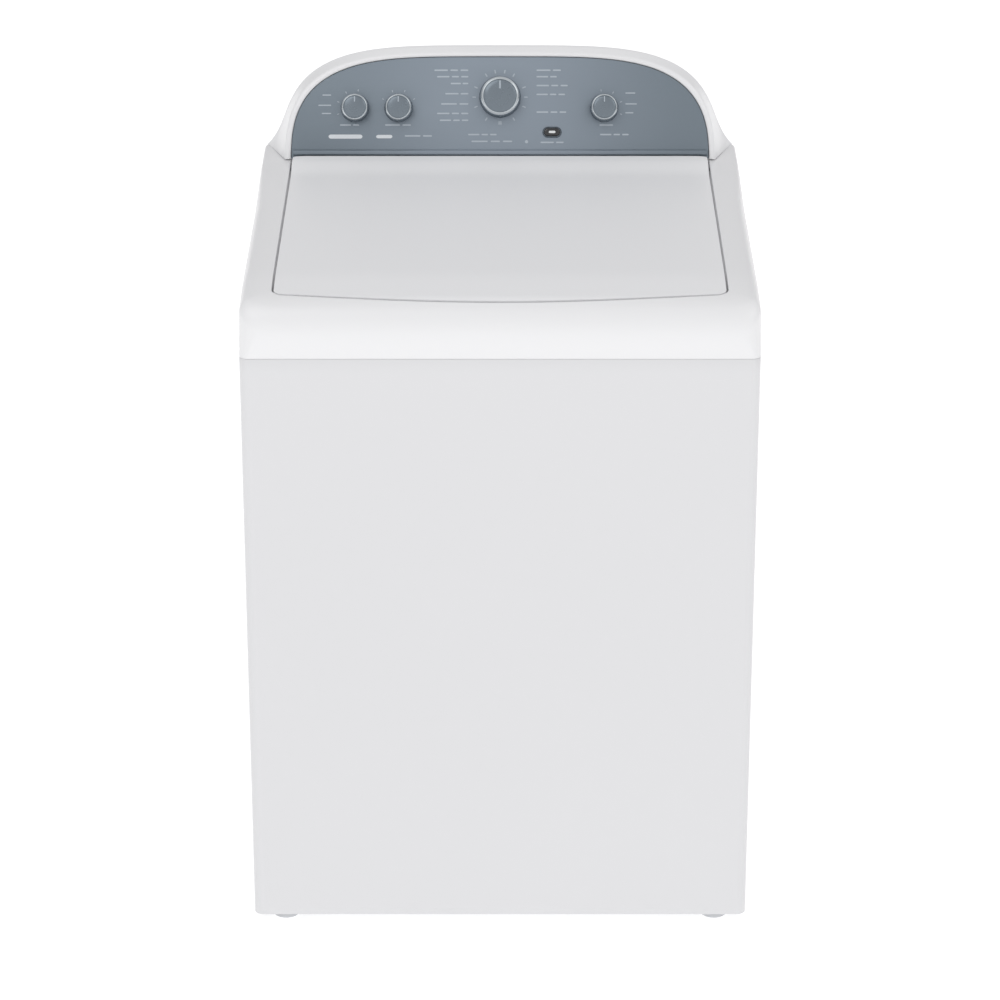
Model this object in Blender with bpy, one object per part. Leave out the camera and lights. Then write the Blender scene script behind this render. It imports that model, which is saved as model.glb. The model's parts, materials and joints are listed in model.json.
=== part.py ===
"""A top load washing machine, modelled as the separate pieces that it comes apart into.

Metres, +Z up. The front faces -Y, and +X is on the right of someone who stands in front of it.
The origin is on the floor, under the middle of the machine's overall box.
"""
import math

import bmesh
import bpy
from mathutils import Matrix, Vector

# Driving dimensions of the whole machine.
WIDTH = 0.699
DEPTH = 0.686
HEIGHT = 1.092
DECK_Z = 0.940
SEAM_Z = 0.857
CABINET_BOTTOM_Z = 0.010
CABINET_CORNER = 0.012
SHEET = 0.0014
GAP = 0.0003
HALF_WIDTH = WIDTH / 2
FRONT_Y = -DEPTH / 2
REAR_Y = DEPTH / 2
BACK_SHEET_Y = 0.3265
SHELL_REAR_Y = 0.330

# Top deck: radii of its rolled edges, the lid's recess and the loading opening.
ROLL_FRONT = 0.040
ROLL_SIDE = 0.020
ROLL_SIDE_REAR = 0.006
ROLL_REAR = 0.004
ROLL_FADE_Y = (0.050, 0.250)
DECK_CORNER = 0.030
DECK_REAR_CORNER = 0.006
DECK_WALL = 0.0022
FRONT_SLOPE = 0.095
FRONT_SLOPE_Y = -0.236
FRONT_SLOPE_BLEND = 0.012
RECESS_X = 0.3068
RECESS_FRONT_Y = -0.3008
RECESS_REAR_Y = 0.258
RECESS_CORNER = 0.017
RECESS_REAR_CORNER = 0.012
RECESS_FLOOR_Z = 0.909
FRONT_BOW = 0.0175
OPENING_X = 0.245
OPENING_FRONT_Y = -0.245
OPENING_REAR_Y = 0.215
OPENING_CORNER = 0.105
OPENING_LIP_Z = 0.880

# Lid, its lock and its hinge line.
LID_X = 0.304
LID_FRONT_Y = -0.298
LID_REAR_Y = 0.240
LID_CORNER = 0.014
LID_INNER_INSET = 0.0035
LID_INNER_REAR_Y = 0.204
LID_SHEET = 0.0014
LID_SKIRT = 0.020
LID_RISE_LENGTH = 0.060
LID_RISE = 0.010
LID_SIDE_DROP = 0.0015
LOCK_X = 0.130
LOCK_Y = -0.276
HINGE_Y = 0.224
HINGE_Z = 0.930
HINGE_PIN_R = 0.0040
HINGE_BUSH_R = 0.0068

# Console: a panel that leans back, in its own frame of x, up along the panel, and out of it.
PANEL_BASE_Y = 0.2515
PANEL_BASE_Z = 0.9425
PANEL_LEAN = math.radians(23.5)
PANEL_X = 0.3064
PANEL_UP = 0.1490
PANEL_SHEET = 0.0025
ARCH_SIDE_POWER = 4.2
ARCH_TOP_POWER = 2.6
HOUSING_FOOT_Z = DECK_Z + 0.0006
HOUSING_REAR_Y = SHELL_REAR_Y - 0.0005
HOUSING_REAR_HALF = 0.318
FLARE = 0.028
FLARE_HEIGHT = 0.027
LEDGE_HALF = 0.3035
LEDGE_UP = (0.0040, 0.0125)
LEDGE_OUT = 0.0055
SMALL_KNOB_R = 0.0210
SMALL_KNOB_OUT = 0.0200
LARGE_KNOB_R = 0.0305
LARGE_KNOB_OUT = 0.0220
SMALL_KNOB_UP = 0.0740
LARGE_KNOB_UP = 0.0900
BUTTON_X = 0.0765
BUTTON_UP = 0.0385
BUTTON_HALF = (0.0120, 0.0060)
SMALL_KNOBS = {"temperature_knob": -0.213, "water_level_knob": -0.149, "rinse_knob": 0.153}
KNOB_STEM_R = 0.0030
BOARD_OUT = -0.0160
VALVE_PORTS_X = (-0.262, -0.222)
VALVE_Z = 0.972

# What passes through the rear panel, as x and z.
DRAIN_OUTLET = (-0.236, 0.810)
CORD_GLAND = (0.290, 0.810)

# Suspended tub and its spindle, all turned about one upright line.
TUB_Y = -0.008
TUB_R = 0.288
TUB_WALL = 0.004
TUB_TOP_Z = 0.7597
BASKET_R = 0.268
SHAFT_R = 0.0085
TUBE_R = 0.0150
PULLEY_R = 0.085
PULLEY_BAND_Z = (0.0805, 0.0915)
PULLEY_Z = (0.078, 0.094)
MOTOR_X = 0.175
MOTOR_PULLEY_R = 0.025
PUMP_X = -0.150
PUMP_Y = -0.140
PUMP_OUT_Z = 0.126
ROD_X = 0.300
ROD_DY = 0.280
ROD_R = 0.004
LUG_Z = (0.262, 0.275)
ROD_CUP_Z = (0.200, 0.212)
FOOT_X = 0.305
FOOT_Y = (-0.317, 0.288)

# How finely round pieces are divided.
ROUND_LARGE = 28
ROUND_MEDIUM = 16
ROUND_SMALL = 10


def clear_scene():
    """Remove every object of the scene that the script is run in."""
    for item in list(bpy.data.objects):
        bpy.data.objects.remove(item, do_unlink=True)


def material(name, colour, roughness, metallic=0.0):
    """A plain Principled material."""
    made = bpy.data.materials.new(name)
    made.use_nodes = True
    shader = made.node_tree.nodes["Principled BSDF"]
    shader.inputs["Base Color"].default_value = (*colour, 1.0)
    shader.inputs["Roughness"].default_value = roughness
    shader.inputs["Metallic"].default_value = metallic
    made.diffuse_color = (*colour, 1.0)
    return made


FINISHES = {
    "white_enamel": ((0.86, 0.86, 0.87), 0.28, 0.0),
    "white_plastic": ((0.82, 0.82, 0.83), 0.40, 0.0),
    "panel_satin": ((0.27, 0.31, 0.36), 0.35, 0.4),
    "knob_plastic": ((0.22, 0.26, 0.30), 0.38, 0.0),
    "black_gloss": ((0.02, 0.02, 0.02), 0.15, 0.0),
    "zinc_steel": ((0.62, 0.63, 0.65), 0.35, 1.0),
    "spring_steel": ((0.35, 0.36, 0.38), 0.40, 1.0),
    "stainless": ((0.72, 0.72, 0.73), 0.25, 1.0),
    "tub_plastic": ((0.70, 0.71, 0.72), 0.50, 0.0),
    "grey_plastic": ((0.34, 0.35, 0.37), 0.50, 0.0),
    "cast_aluminium": ((0.58, 0.58, 0.60), 0.45, 1.0),
    "black_rubber": ((0.03, 0.03, 0.03), 0.80, 0.0),
    "board_green": ((0.05, 0.22, 0.11), 0.50, 0.0),
    "brass": ((0.72, 0.55, 0.25), 0.35, 1.0),
}


def finish_of(node, finish):
    """Each object gets a material of its own, in one of the shared finishes."""
    colour, roughness, metallic = FINISHES[finish]
    return material(node + "_material", colour, roughness, metallic)


def object_from(name, bm, finish, parent=None, place=None):
    """Turn a bmesh into a shaded object. place is its matrix, where its mesh is in a local frame."""
    bmesh.ops.recalc_face_normals(bm, faces=bm.faces)
    mesh = bpy.data.meshes.new(name)
    bm.to_mesh(mesh)
    bm.free()
    mesh.shade_smooth()
    mesh.set_sharp_from_angle(angle=math.radians(35))
    made = bpy.data.objects.new(name, mesh)
    bpy.context.scene.collection.objects.link(made)
    if place is not None:
        made.matrix_world = place
    if finish:
        made.data.materials.append(finish_of(name, finish))
    attach(made, parent)
    return made


def attach(child, parent):
    """Parent an object without moving it."""
    if parent is None:
        return
    bpy.context.view_layer.update()
    child.parent = parent
    child.matrix_parent_inverse = parent.matrix_world.inverted()


def axis_empty(name, position, parent=None):
    """An empty on the axis of a joint, which the pieces that move about it hang from."""
    empty = bpy.data.objects.new(name, None)
    bpy.context.scene.collection.objects.link(empty)
    empty.location = position
    bpy.context.view_layer.update()
    attach(empty, parent)
    return empty


def boolean(target, tool, operation):
    """Cut a tool out of a target, or join it on, and keep the tool hidden."""
    modifier = target.modifiers.new(tool.name, "BOOLEAN")
    modifier.operation = operation
    modifier.solver = "EXACT"
    modifier.object = tool
    tool.hide_render = True
    tool.display_type = "WIRE"


def cut(target, *tools):
    for tool in tools:
        boolean(target, tool, "DIFFERENCE")


def join(target, *tools):
    for tool in tools:
        boolean(target, tool, "UNION")


def loft(rings, closed=False):
    """Faces between successive rings of points. A ring of one point closes to a pole.

    With closed, the last ring meets the first one, and otherwise both ends are capped.
    """
    bm = bmesh.new()
    rows = [[bm.verts.new(point) for point in ring] for ring in rings]
    pairs = list(zip(rows, rows[1:]))
    if closed:
        pairs.append((rows[-1], rows[0]))
    for low, high in pairs:
        count = max(len(low), len(high))
        for index in range(count):
            after = (index + 1) % count
            if len(low) == 1:
                bm.faces.new((low[0], high[after], high[index]))
            elif len(high) == 1:
                bm.faces.new((low[index], low[after], high[0]))
            else:
                bm.faces.new((low[index], low[after], high[after], high[index]))
    if not closed:
        for row in (rows[0], rows[-1]):
            if len(row) > 2:
                bm.faces.new(row)
    return bm


def circle(radius, height, steps, centre=(0.0, 0.0)):
    """Points of a level circle, or one point where the radius is zero."""
    if radius == 0:
        return [(centre[0], centre[1], height)]
    turn = 2 * math.pi / steps
    return [(centre[0] + radius * math.cos(turn * step), centre[1] + radius * math.sin(turn * step), height)
            for step in range(steps)]


def turned(profile, steps, centre=(0.0, 0.0)):
    """A turned solid from (radius, height) points. A profile that leaves the axis is a closed ring."""
    on_axis = profile[0][0] == 0
    return loft([circle(radius, height, steps, centre) for radius, height in profile], closed=not on_axis)


def prism(outline, low, high, axis="Z"):
    """An outline of two coordinates, extruded along an axis from low to high."""
    def place(point, level):
        first, second = point
        return {"X": (level, first, second), "Y": (first, level, second), "Z": (first, second, level)}[axis]
    return loft([[place(point, low) for point in outline], [place(point, high) for point in outline]])


def block(low, high):
    """A box between two opposite corners."""
    corners = [(low[0], low[1]), (high[0], low[1]), (high[0], high[1]), (low[0], high[1])]
    return prism(corners, low[2], high[2])


def bar(start, end, radius, steps=ROUND_SMALL):
    """A round bar between two points."""
    start, end = Vector(start), Vector(end)
    bm = turned([(0, 0), (radius, 0), (radius, (end - start).length), (0, (end - start).length)], steps)
    spin = Vector((0, 0, 1)).rotation_difference(end - start).to_matrix().to_4x4()
    bmesh.ops.transform(bm, matrix=Matrix.Translation(start) @ spin, verts=bm.verts)
    return bm


def slab(top, bottom):
    """A closed sheet between two grids of points with the same rows and columns."""
    bm = bmesh.new()
    upper = [[bm.verts.new(point) for point in row] for row in top]
    lower = [[bm.verts.new(point) for point in row] for row in bottom]
    rows, columns = len(top), len(top[0])
    for grid in (upper, lower):
        for row in range(rows - 1):
            for column in range(columns - 1):
                bm.faces.new((grid[row][column], grid[row][column + 1],
                              grid[row + 1][column + 1], grid[row + 1][column]))
    rim = [(0, column) for column in range(columns)]
    rim += [(row, columns - 1) for row in range(1, rows)]
    rim += [(rows - 1, column) for column in range(columns - 2, -1, -1)]
    rim += [(row, 0) for row in range(rows - 2, 0, -1)]
    for (row, column), (next_row, next_column) in zip(rim, rim[1:] + rim[:1]):
        bm.faces.new((upper[row][column], upper[next_row][next_column],
                      lower[next_row][next_column], lower[row][column]))
    return bm


def smooth_step(value):
    """0 below 0, 1 above 1, with an even S between."""
    value = min(max(value, 0.0), 1.0)
    return value * value * (3 - 2 * value)


def rounded_outline(x_half, front, rear, corner, bow=0.0, corner_steps=3, side_steps=4, rear_corner=None):
    """A rounded rectangle seen from above, anticlockwise from its front right, with a bowed front."""
    back = corner if rear_corner is None else rear_corner
    centres = [(x_half - corner, front + corner, -90, corner), (x_half - back, rear - back, 0, back),
               (-x_half + back, rear - back, 90, back), (-x_half + corner, front + corner, 180, corner)]
    points = []
    for number, (x, y, start, radius) in enumerate(centres):
        for step in range(corner_steps + 1):
            angle = math.radians(start + 90 * step / corner_steps)
            points.append((x + radius * math.cos(angle), y + radius * math.sin(angle)))
        after_x, after_y, after_start, after_radius = centres[(number + 1) % 4]
        first = points[-1]
        angle = math.radians(after_start)
        last = (after_x + after_radius * math.cos(angle), after_y + after_radius * math.sin(angle))
        for step in range(1, side_steps):
            share = step / side_steps
            points.append((first[0] + (last[0] - first[0]) * share, first[1] + (last[1] - first[1]) * share))
    middle = (front + rear) / 2
    shaped = []
    for x, y in points:
        if y < middle:
            nearness = smooth_step((middle - y) / (middle - front) * 4 - 3)
            y -= bow * (1 - (x / x_half) ** 2) * nearness
        shaped.append((x, y))
    return shaped


# ---------------------------------------------------------------- cabinet and frame


def cabinet_wrap():
    """Front and both sides in one folded sheet, with a return flange down each rear edge."""
    flange = 0.022

    def path(inset):
        x, front, rear = HALF_WIDTH - inset, FRONT_Y + inset, BACK_SHEET_Y - GAP - inset
        radius = CABINET_CORNER - inset
        points = [(-HALF_WIDTH + flange, rear), (-x, rear)]
        for centre_x, start in ((-x + radius, 180), (x - radius, 270)):
            for step in range(5):
                angle = math.radians(start + 90 * step / 4)
                points.append((centre_x + radius * math.cos(angle), front + radius + radius * math.sin(angle)))
        return points + [(x, rear), (HALF_WIDTH - flange, rear)]

    outline = path(0.0) + path(SHEET)[::-1]
    object_from("cabinet_wrap", prism(outline, CABINET_BOTTOM_Z, SEAM_Z - 0.0005), "white_enamel")


def rear_panel():
    """The back sheet, pressed outwards in two fields, with holes for the drain outlet and cord gland."""
    half, low, high = 0.3455, 0.013, SEAM_Z - 0.0010
    field_x = (0.250, 0.262)
    fields = ((0.080, 0.430), (0.480, 0.770))
    step = 0.005
    xs = [-half, -field_x[1], -field_x[0], field_x[0], field_x[1], half]
    zs = [low]
    for field_low, field_high in fields:
        zs += [field_low, field_low + 0.012, field_high - 0.012, field_high]
    zs.append(high)

    def pressed(x, z):
        inside = any(field_low + 0.006 < z < field_high - 0.006 for field_low, field_high in fields)
        return step if inside and abs(x) < field_x[0] + 0.001 else 0.0

    outside = [[(x, BACK_SHEET_Y + SHEET + pressed(x, z), z) for x in xs] for z in zs]
    inside = [[(x, BACK_SHEET_Y + pressed(x, z), z) for x in xs] for z in zs]
    panel = object_from("rear_panel", slab(outside, inside), "zinc_steel")
    for name, (x, z), radius in (("drain_hole", DRAIN_OUTLET, 0.0158), ("gland_hole", CORD_GLAND, 0.0093)):
        hole = bar((x, BACK_SHEET_Y - 0.02, z), (x, BACK_SHEET_Y + 0.02, z), radius, ROUND_SMALL)
        cut(panel, object_from(name, hole, None))


def base_frame():
    """A pressed channel all round the bottom, with a hole for each foot's screw."""
    x_half, front, rear = HALF_WIDTH - 0.0025, FRONT_Y + 0.0025, BACK_SHEET_Y - 0.0035
    low, floor, high = 0.0115, 0.0135, 0.0460
    wall, width = 0.0020, 0.0750
    section = [(0, low), (0, high), (wall, high), (wall, floor),
               (width - wall, floor), (width - wall, high), (width, high), (width, low)]
    rings = []
    for inset, height in section:
        outline = rounded_outline(x_half - inset, front + inset, rear - inset, 0.010, 0.0, 2, 1)
        rings.append([(x, y, height) for x, y in outline])
    frame = object_from("base_frame", loft(rings, closed=True), "zinc_steel")
    for number, (x, y) in enumerate(foot_places()):
        hole = bar((x, y, 0.0), (x, y, 0.03), 0.0055)
        cut(frame, object_from("foot_hole_%d" % number, hole, None))


def foot_places():
    return [(side * FOOT_X, y) for y in FOOT_Y for side in (-1, 1)]


def feet():
    """Levelling feet, screwed fully in, each on an empty at its own screw's axis."""
    profile = [(0, 0), (0.0185, 0), (0.020, 0.002), (0.020, 0.0085), (0.0170, 0.0112),
               (0.0050, 0.0112), (0.0050, 0.0600), (0, 0.0600)]
    for name, (x, y) in zip(("foot_front_left", "foot_front_right", "foot_rear_left", "foot_rear_right"),
                            foot_places()):
        place = Matrix.Translation((x, y, 0))
        object_from(name, turned(profile, ROUND_MEDIUM), "grey_plastic", None, place)


def top_braces():
    """A rail along each side at the top of the cabinet, with a seat for a suspension rod at each end."""
    for name, side in (("top_brace_left", -1), ("top_brace_right", 1)):
        def span(near, far):
            return sorted((side * near, side * far))
        rail_x = span(0.3440, 0.3468)
        rail = object_from(name, block((rail_x[0], -0.310, 0.8360), (rail_x[1], 0.297, 0.8780)), "zinc_steel")
        seat_x = span(0.2700, 0.3455)
        for end, (front, rear) in (("front", (-0.325, -0.250)), ("rear", (0.235, 0.310))):
            seat = block((seat_x[0], front, 0.8375), (seat_x[1], rear, 0.8400))
            join(rail, object_from("%s_%s_seat" % (name, end), seat, None))
            centre_y = TUB_Y + (ROD_DY if end == "rear" else -ROD_DY)
            hole = bar((side * ROD_X, centre_y, 0.82), (side * ROD_X, centre_y, 0.86), 0.0055)
            cut(rail, object_from("%s_%s_hole" % (name, end), hole, None))


# ---------------------------------------------------------------- top deck


def front_drop(y):
    """How far the machine's top has sloped down towards its front edge."""
    ahead = FRONT_SLOPE_Y - y
    if ahead <= 0:
        return 0.0
    if ahead < FRONT_SLOPE_BLEND:
        return FRONT_SLOPE * ahead ** 2 / (2 * FRONT_SLOPE_BLEND)
    return FRONT_SLOPE * (ahead - FRONT_SLOPE_BLEND / 2)


def deck_z(y):
    """Height of the deck's skin at a distance back from the front, over the rolled front edge."""
    crest = DECK_Z - front_drop(y)
    back = y - FRONT_Y
    if back >= ROLL_FRONT:
        return crest
    return crest - ROLL_FRONT + math.sqrt(ROLL_FRONT ** 2 - (ROLL_FRONT - back) ** 2)


def top_deck():
    """One shell: skirt, rolled edges, lid recess and the loading opening with its turned-down lip."""
    outer = rounded_outline(HALF_WIDTH, FRONT_Y, SHELL_REAR_Y, DECK_CORNER, side_steps=6,
                            rear_corner=DECK_REAR_CORNER)
    centre_y = (FRONT_Y + SHELL_REAR_Y) / 2
    half_depth = (SHELL_REAR_Y - FRONT_Y) / 2

    def roll_radius(x, y):
        """Blend the edge radii round the corners, by which way the edge faces."""
        facing = Vector((0.0, 0.0))
        corner = DECK_CORNER if y < centre_y else DECK_REAR_CORNER
        if abs(x) > HALF_WIDTH - corner:
            facing.x = abs(x) - (HALF_WIDTH - corner)
        if y < FRONT_Y + corner:
            facing.y = y - (FRONT_Y + corner)
        elif y > SHELL_REAR_Y - corner:
            facing.y = y - (SHELL_REAR_Y - corner)
        share = facing.y ** 2 / max(facing.length_squared, 1e-9)
        end_radius = ROLL_FRONT if y < centre_y else ROLL_REAR
        fade = smooth_step((y - ROLL_FADE_Y[0]) / (ROLL_FADE_Y[1] - ROLL_FADE_Y[0]))
        side_radius = ROLL_SIDE + (ROLL_SIDE_REAR - ROLL_SIDE) * fade
        return side_radius + (end_radius - side_radius) * share

    def rolled(degrees, inside=0.0):
        """A ring part of the way over the rolled edge, or that far inside it."""
        angle = math.radians(degrees)
        ring = []
        for x, y in outer:
            radius = roll_radius(x, y)
            inner = max(radius - inside, 0.0)
            inset = radius - inner * math.cos(angle)
            x_scale = (HALF_WIDTH - inset) / HALF_WIDTH
            y_scale = (half_depth - inset) / half_depth
            ring_y = centre_y + (y - centre_y) * y_scale
            height = DECK_Z - radius + inner * math.sin(angle) - max(inside - radius, 0.0) - front_drop(ring_y)
            ring.append((x * x_scale, ring_y, height))
        return ring

    def skirt(inset, height, corner=DECK_CORNER):
        outline = rounded_outline(HALF_WIDTH - inset, FRONT_Y + inset, SHELL_REAR_Y - inset,
                                  corner - inset, side_steps=6, rear_corner=DECK_REAR_CORNER - inset)
        return [(x, y, height) for x, y in outline]

    def recess(grow, height=None, drop=0.0):
        outline = rounded_outline(RECESS_X + grow, RECESS_FRONT_Y - grow, RECESS_REAR_Y + grow,
                                  RECESS_CORNER, FRONT_BOW, side_steps=6, rear_corner=RECESS_REAR_CORNER)
        return [(x, y, height if height is not None else deck_z(y) - drop) for x, y in outline]

    def opening(grow, height):
        outline = rounded_outline(OPENING_X + grow, OPENING_FRONT_Y - grow, OPENING_REAR_Y + grow,
                                  OPENING_CORNER + grow, side_steps=6)
        return [(x, y, height) for x, y in outline]

    wall = DECK_WALL
    rings = [skirt(0.0, SEAM_Z + 0.001, CABINET_CORNER), rolled(0), rolled(22), rolled(44), rolled(62),
             recess(0.0015), recess(0.0, drop=0.002), recess(-0.0015, RECESS_FLOOR_Z),
             opening(0.004, RECESS_FLOOR_Z), opening(0.0, RECESS_FLOOR_Z - 0.005), opening(0.0, OPENING_LIP_Z),
             opening(wall, OPENING_LIP_Z), opening(wall, RECESS_FLOOR_Z - 0.007),
             opening(0.006, RECESS_FLOOR_Z - wall), recess(0.0010, RECESS_FLOOR_Z - wall),
             recess(wall, drop=0.0032), rolled(48, wall), skirt(wall, 0.8865),
             skirt(wall, SEAM_Z + 0.001, CABINET_CORNER)]
    deck = object_from("top_deck", loft(rings, closed=True), "white_enamel")
    for side, name in ((-1, "left"), (1, "right")):
        hole = bar((side * 0.300, HINGE_Y, HINGE_Z), (side * 0.322, HINGE_Y, HINGE_Z), HINGE_BUSH_R + 0.0006, 16)
        cut(deck, object_from("bush_hole_" + name, hole, None))
    slot = block((LOCK_X - 0.012, LOCK_Y - 0.010, 0.900), (LOCK_X + 0.012, LOCK_Y + 0.010, 0.915))
    cut(deck, object_from("lock_slot", slot, None))


# ---------------------------------------------------------------- lid


def lid_z(x, y):
    """The lid's top: level with the deck round it, eased down at its sides, and rising to its hinge."""
    side_share = max(0.0, 1 - (LID_X - abs(x)) / 0.020)
    rise_share = smooth_step(1 - (LID_REAR_Y - y) / LID_RISE_LENGTH)
    return deck_z(y) + LID_RISE * rise_share - LID_SIDE_DROP * side_share ** 2


def lid_grid(x_half, front, rear, corner, bow, height):
    """Rows of points from front to rear, narrower through the rounded front corners."""
    rows = []
    stations = []
    for step in range(5):
        angle = math.radians(90 * step / 4)
        stations.append((front + corner * (1 - math.cos(angle)), x_half - corner * (1 - math.sin(angle))))
    straight = [0.025, 0.055, 0.10, 0.35, 0.62, 0.82, 0.89, 0.925, 0.96, 0.988]
    length = rear - front - corner
    stations += [(front + corner + share * length, x_half) for share in straight]
    stations.append((rear, x_half - 0.004))
    shares = [-1.0, -0.975, -0.93, -0.7, -0.4, 0.0, 0.4, 0.7, 0.93, 0.975, 1.0]
    for y, half in stations:
        fade = smooth_step(1 - (y - front) / 0.10)
        row = []
        for share in shares:
            x = half * share
            row_y = y - bow * (1 - (x / x_half) ** 2) * fade
            row.append((x, row_y, height(x, row_y)))
        rows.append(row)
    return rows


def lid(parent):
    """Outer pressing with a turned-down skirt, inner moulding under it, and the lock's strike."""
    top = lid_grid(LID_X, LID_FRONT_Y, LID_REAR_Y, LID_CORNER, FRONT_BOW, lid_z)
    bm = bmesh.new()
    verts = [[bm.verts.new(point) for point in row] for row in top]
    for low, high in zip(verts, verts[1:]):
        for column in range(len(low) - 1):
            bm.faces.new((low[column], low[column + 1], high[column + 1], high[column]))
    edges = [edge for edge in bm.edges if edge.is_boundary]
    skirt = bmesh.ops.extrude_edge_only(bm, edges=edges)["geom"]
    for vert in skirt:
        if isinstance(vert, bmesh.types.BMVert):
            vert.co.z -= LID_SKIRT
    outer = object_from("lid_outer", bm, "white_enamel", parent)
    thickness = outer.modifiers.new("sheet", "SOLIDIFY")
    thickness.thickness = LID_SHEET
    thickness.offset = -1
    thickness.use_even_offset = True
    for side, name in ((-1, "left"), (1, "right")):
        hole = bar((side * 0.298, HINGE_Y, HINGE_Z), (side * 0.308, HINGE_Y, HINGE_Z), HINGE_PIN_R + 0.0004)
        cut(outer, object_from("pin_hole_" + name, hole, None))

    sheet_gap, border_depth, dish_depth, pan_wall = 0.0010, 0.0030, 0.0090, 0.0028

    def pan_z(x, y):
        across = smooth_step((LID_X - 0.020 - abs(x)) / 0.030)
        along = smooth_step((y - LID_FRONT_Y - 0.035) / 0.030) * smooth_step((0.190 - y) / 0.030)
        return lid_z(x, y) - LID_SHEET - sheet_gap - border_depth - dish_depth * across * along

    shape = (LID_X - LID_INNER_INSET, LID_FRONT_Y + LID_INNER_INSET, LID_INNER_REAR_Y,
             LID_CORNER - LID_INNER_INSET, FRONT_BOW)
    inner = slab(lid_grid(*shape, lambda x, y: pan_z(x, y) + pan_wall), lid_grid(*shape, pan_z))
    object_from("lid_inner", inner, "white_plastic", parent)

    strike_top = pan_z(LOCK_X, LOCK_Y) - 0.0015
    strike = block((LOCK_X - 0.006, LOCK_Y - 0.004, 0.8960), (LOCK_X + 0.006, LOCK_Y + 0.004, strike_top))
    object_from("lid_strike", strike, "grey_plastic", parent)

    for name, side in (("hinge_pin_left", -1), ("hinge_pin_right", 1)):
        profile = [(0, 0.2960), (0.0062, 0.2960), (0.0062, 0.3008), (HINGE_PIN_R, 0.3008),
                   (HINGE_PIN_R, 0.3146), (0, 0.3146)]
        place = Matrix.Translation((0, HINGE_Y, HINGE_Z)) @ Matrix.Rotation(side * math.pi / 2, 4, "Y")
        object_from(name, turned(profile, ROUND_SMALL), "zinc_steel", parent, place)


def lid_fittings():
    """What the deck holds for the lid: a bush each side, and the lock under the front ledge."""
    for name, side in (("hinge_bush_left", -1), ("hinge_bush_right", 1)):
        inner = HINGE_PIN_R + GAP
        profile = [(HINGE_BUSH_R, 0.3062), (HINGE_BUSH_R, 0.3160), (inner, 0.3160), (inner, 0.3062)]
        place = Matrix.Translation((0, HINGE_Y, HINGE_Z)) @ Matrix.Rotation(side * math.pi / 2, 4, "Y")
        object_from(name, turned(profile, 16), "grey_plastic", None, place)
    floor = RECESS_FLOOR_Z - 0.0025 - GAP
    lock = object_from("lid_lock", block((LOCK_X - 0.034, LOCK_Y - 0.016, 0.8800),
                                         (LOCK_X + 0.034, LOCK_Y + 0.0165, floor)), "grey_plastic")
    pocket = block((LOCK_X - 0.010, LOCK_Y - 0.008, 0.8880), (LOCK_X + 0.010, LOCK_Y + 0.008, 0.9200))
    cut(lock, object_from("lock_pocket", pocket, None))


# ---------------------------------------------------------------- console


def on_panel(x, up, out):
    """A world point from a place on the panel: across, up along it, and out of its face."""
    y = PANEL_BASE_Y + up * math.sin(PANEL_LEAN) - out * math.cos(PANEL_LEAN)
    z = PANEL_BASE_Z + up * math.cos(PANEL_LEAN) + out * math.sin(PANEL_LEAN)
    return (x, y, z)


def panel_frame(x, up):
    """The matrix that puts a local frame on the panel, with its Z out of the face and its Y up it."""
    across = Vector((1, 0, 0))
    rising = Vector((0, math.sin(PANEL_LEAN), math.cos(PANEL_LEAN)))
    outward = Vector((0, -math.cos(PANEL_LEAN), math.sin(PANEL_LEAN)))
    turn = Matrix((across, rising, outward)).transposed().to_4x4()
    return Matrix.Translation(on_panel(x, up, 0)) @ turn


def arch(half, rise, base=0.0, steps=28, base_steps=8):
    """A superellipse arch standing on a straight base, anticlockwise from its right foot."""
    points = []
    for step in range(steps + 1):
        angle = math.pi * step / steps
        cosine, sine = math.cos(angle), math.sin(angle)
        x = half * math.copysign(abs(cosine) ** (2 / ARCH_SIDE_POWER), cosine)
        points.append((x, base + (rise - base) * abs(sine) ** (2 / ARCH_TOP_POWER)))
    for step in range(1, base_steps):
        points.append((-half + 2 * half * step / base_steps, base))
    return points


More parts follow.
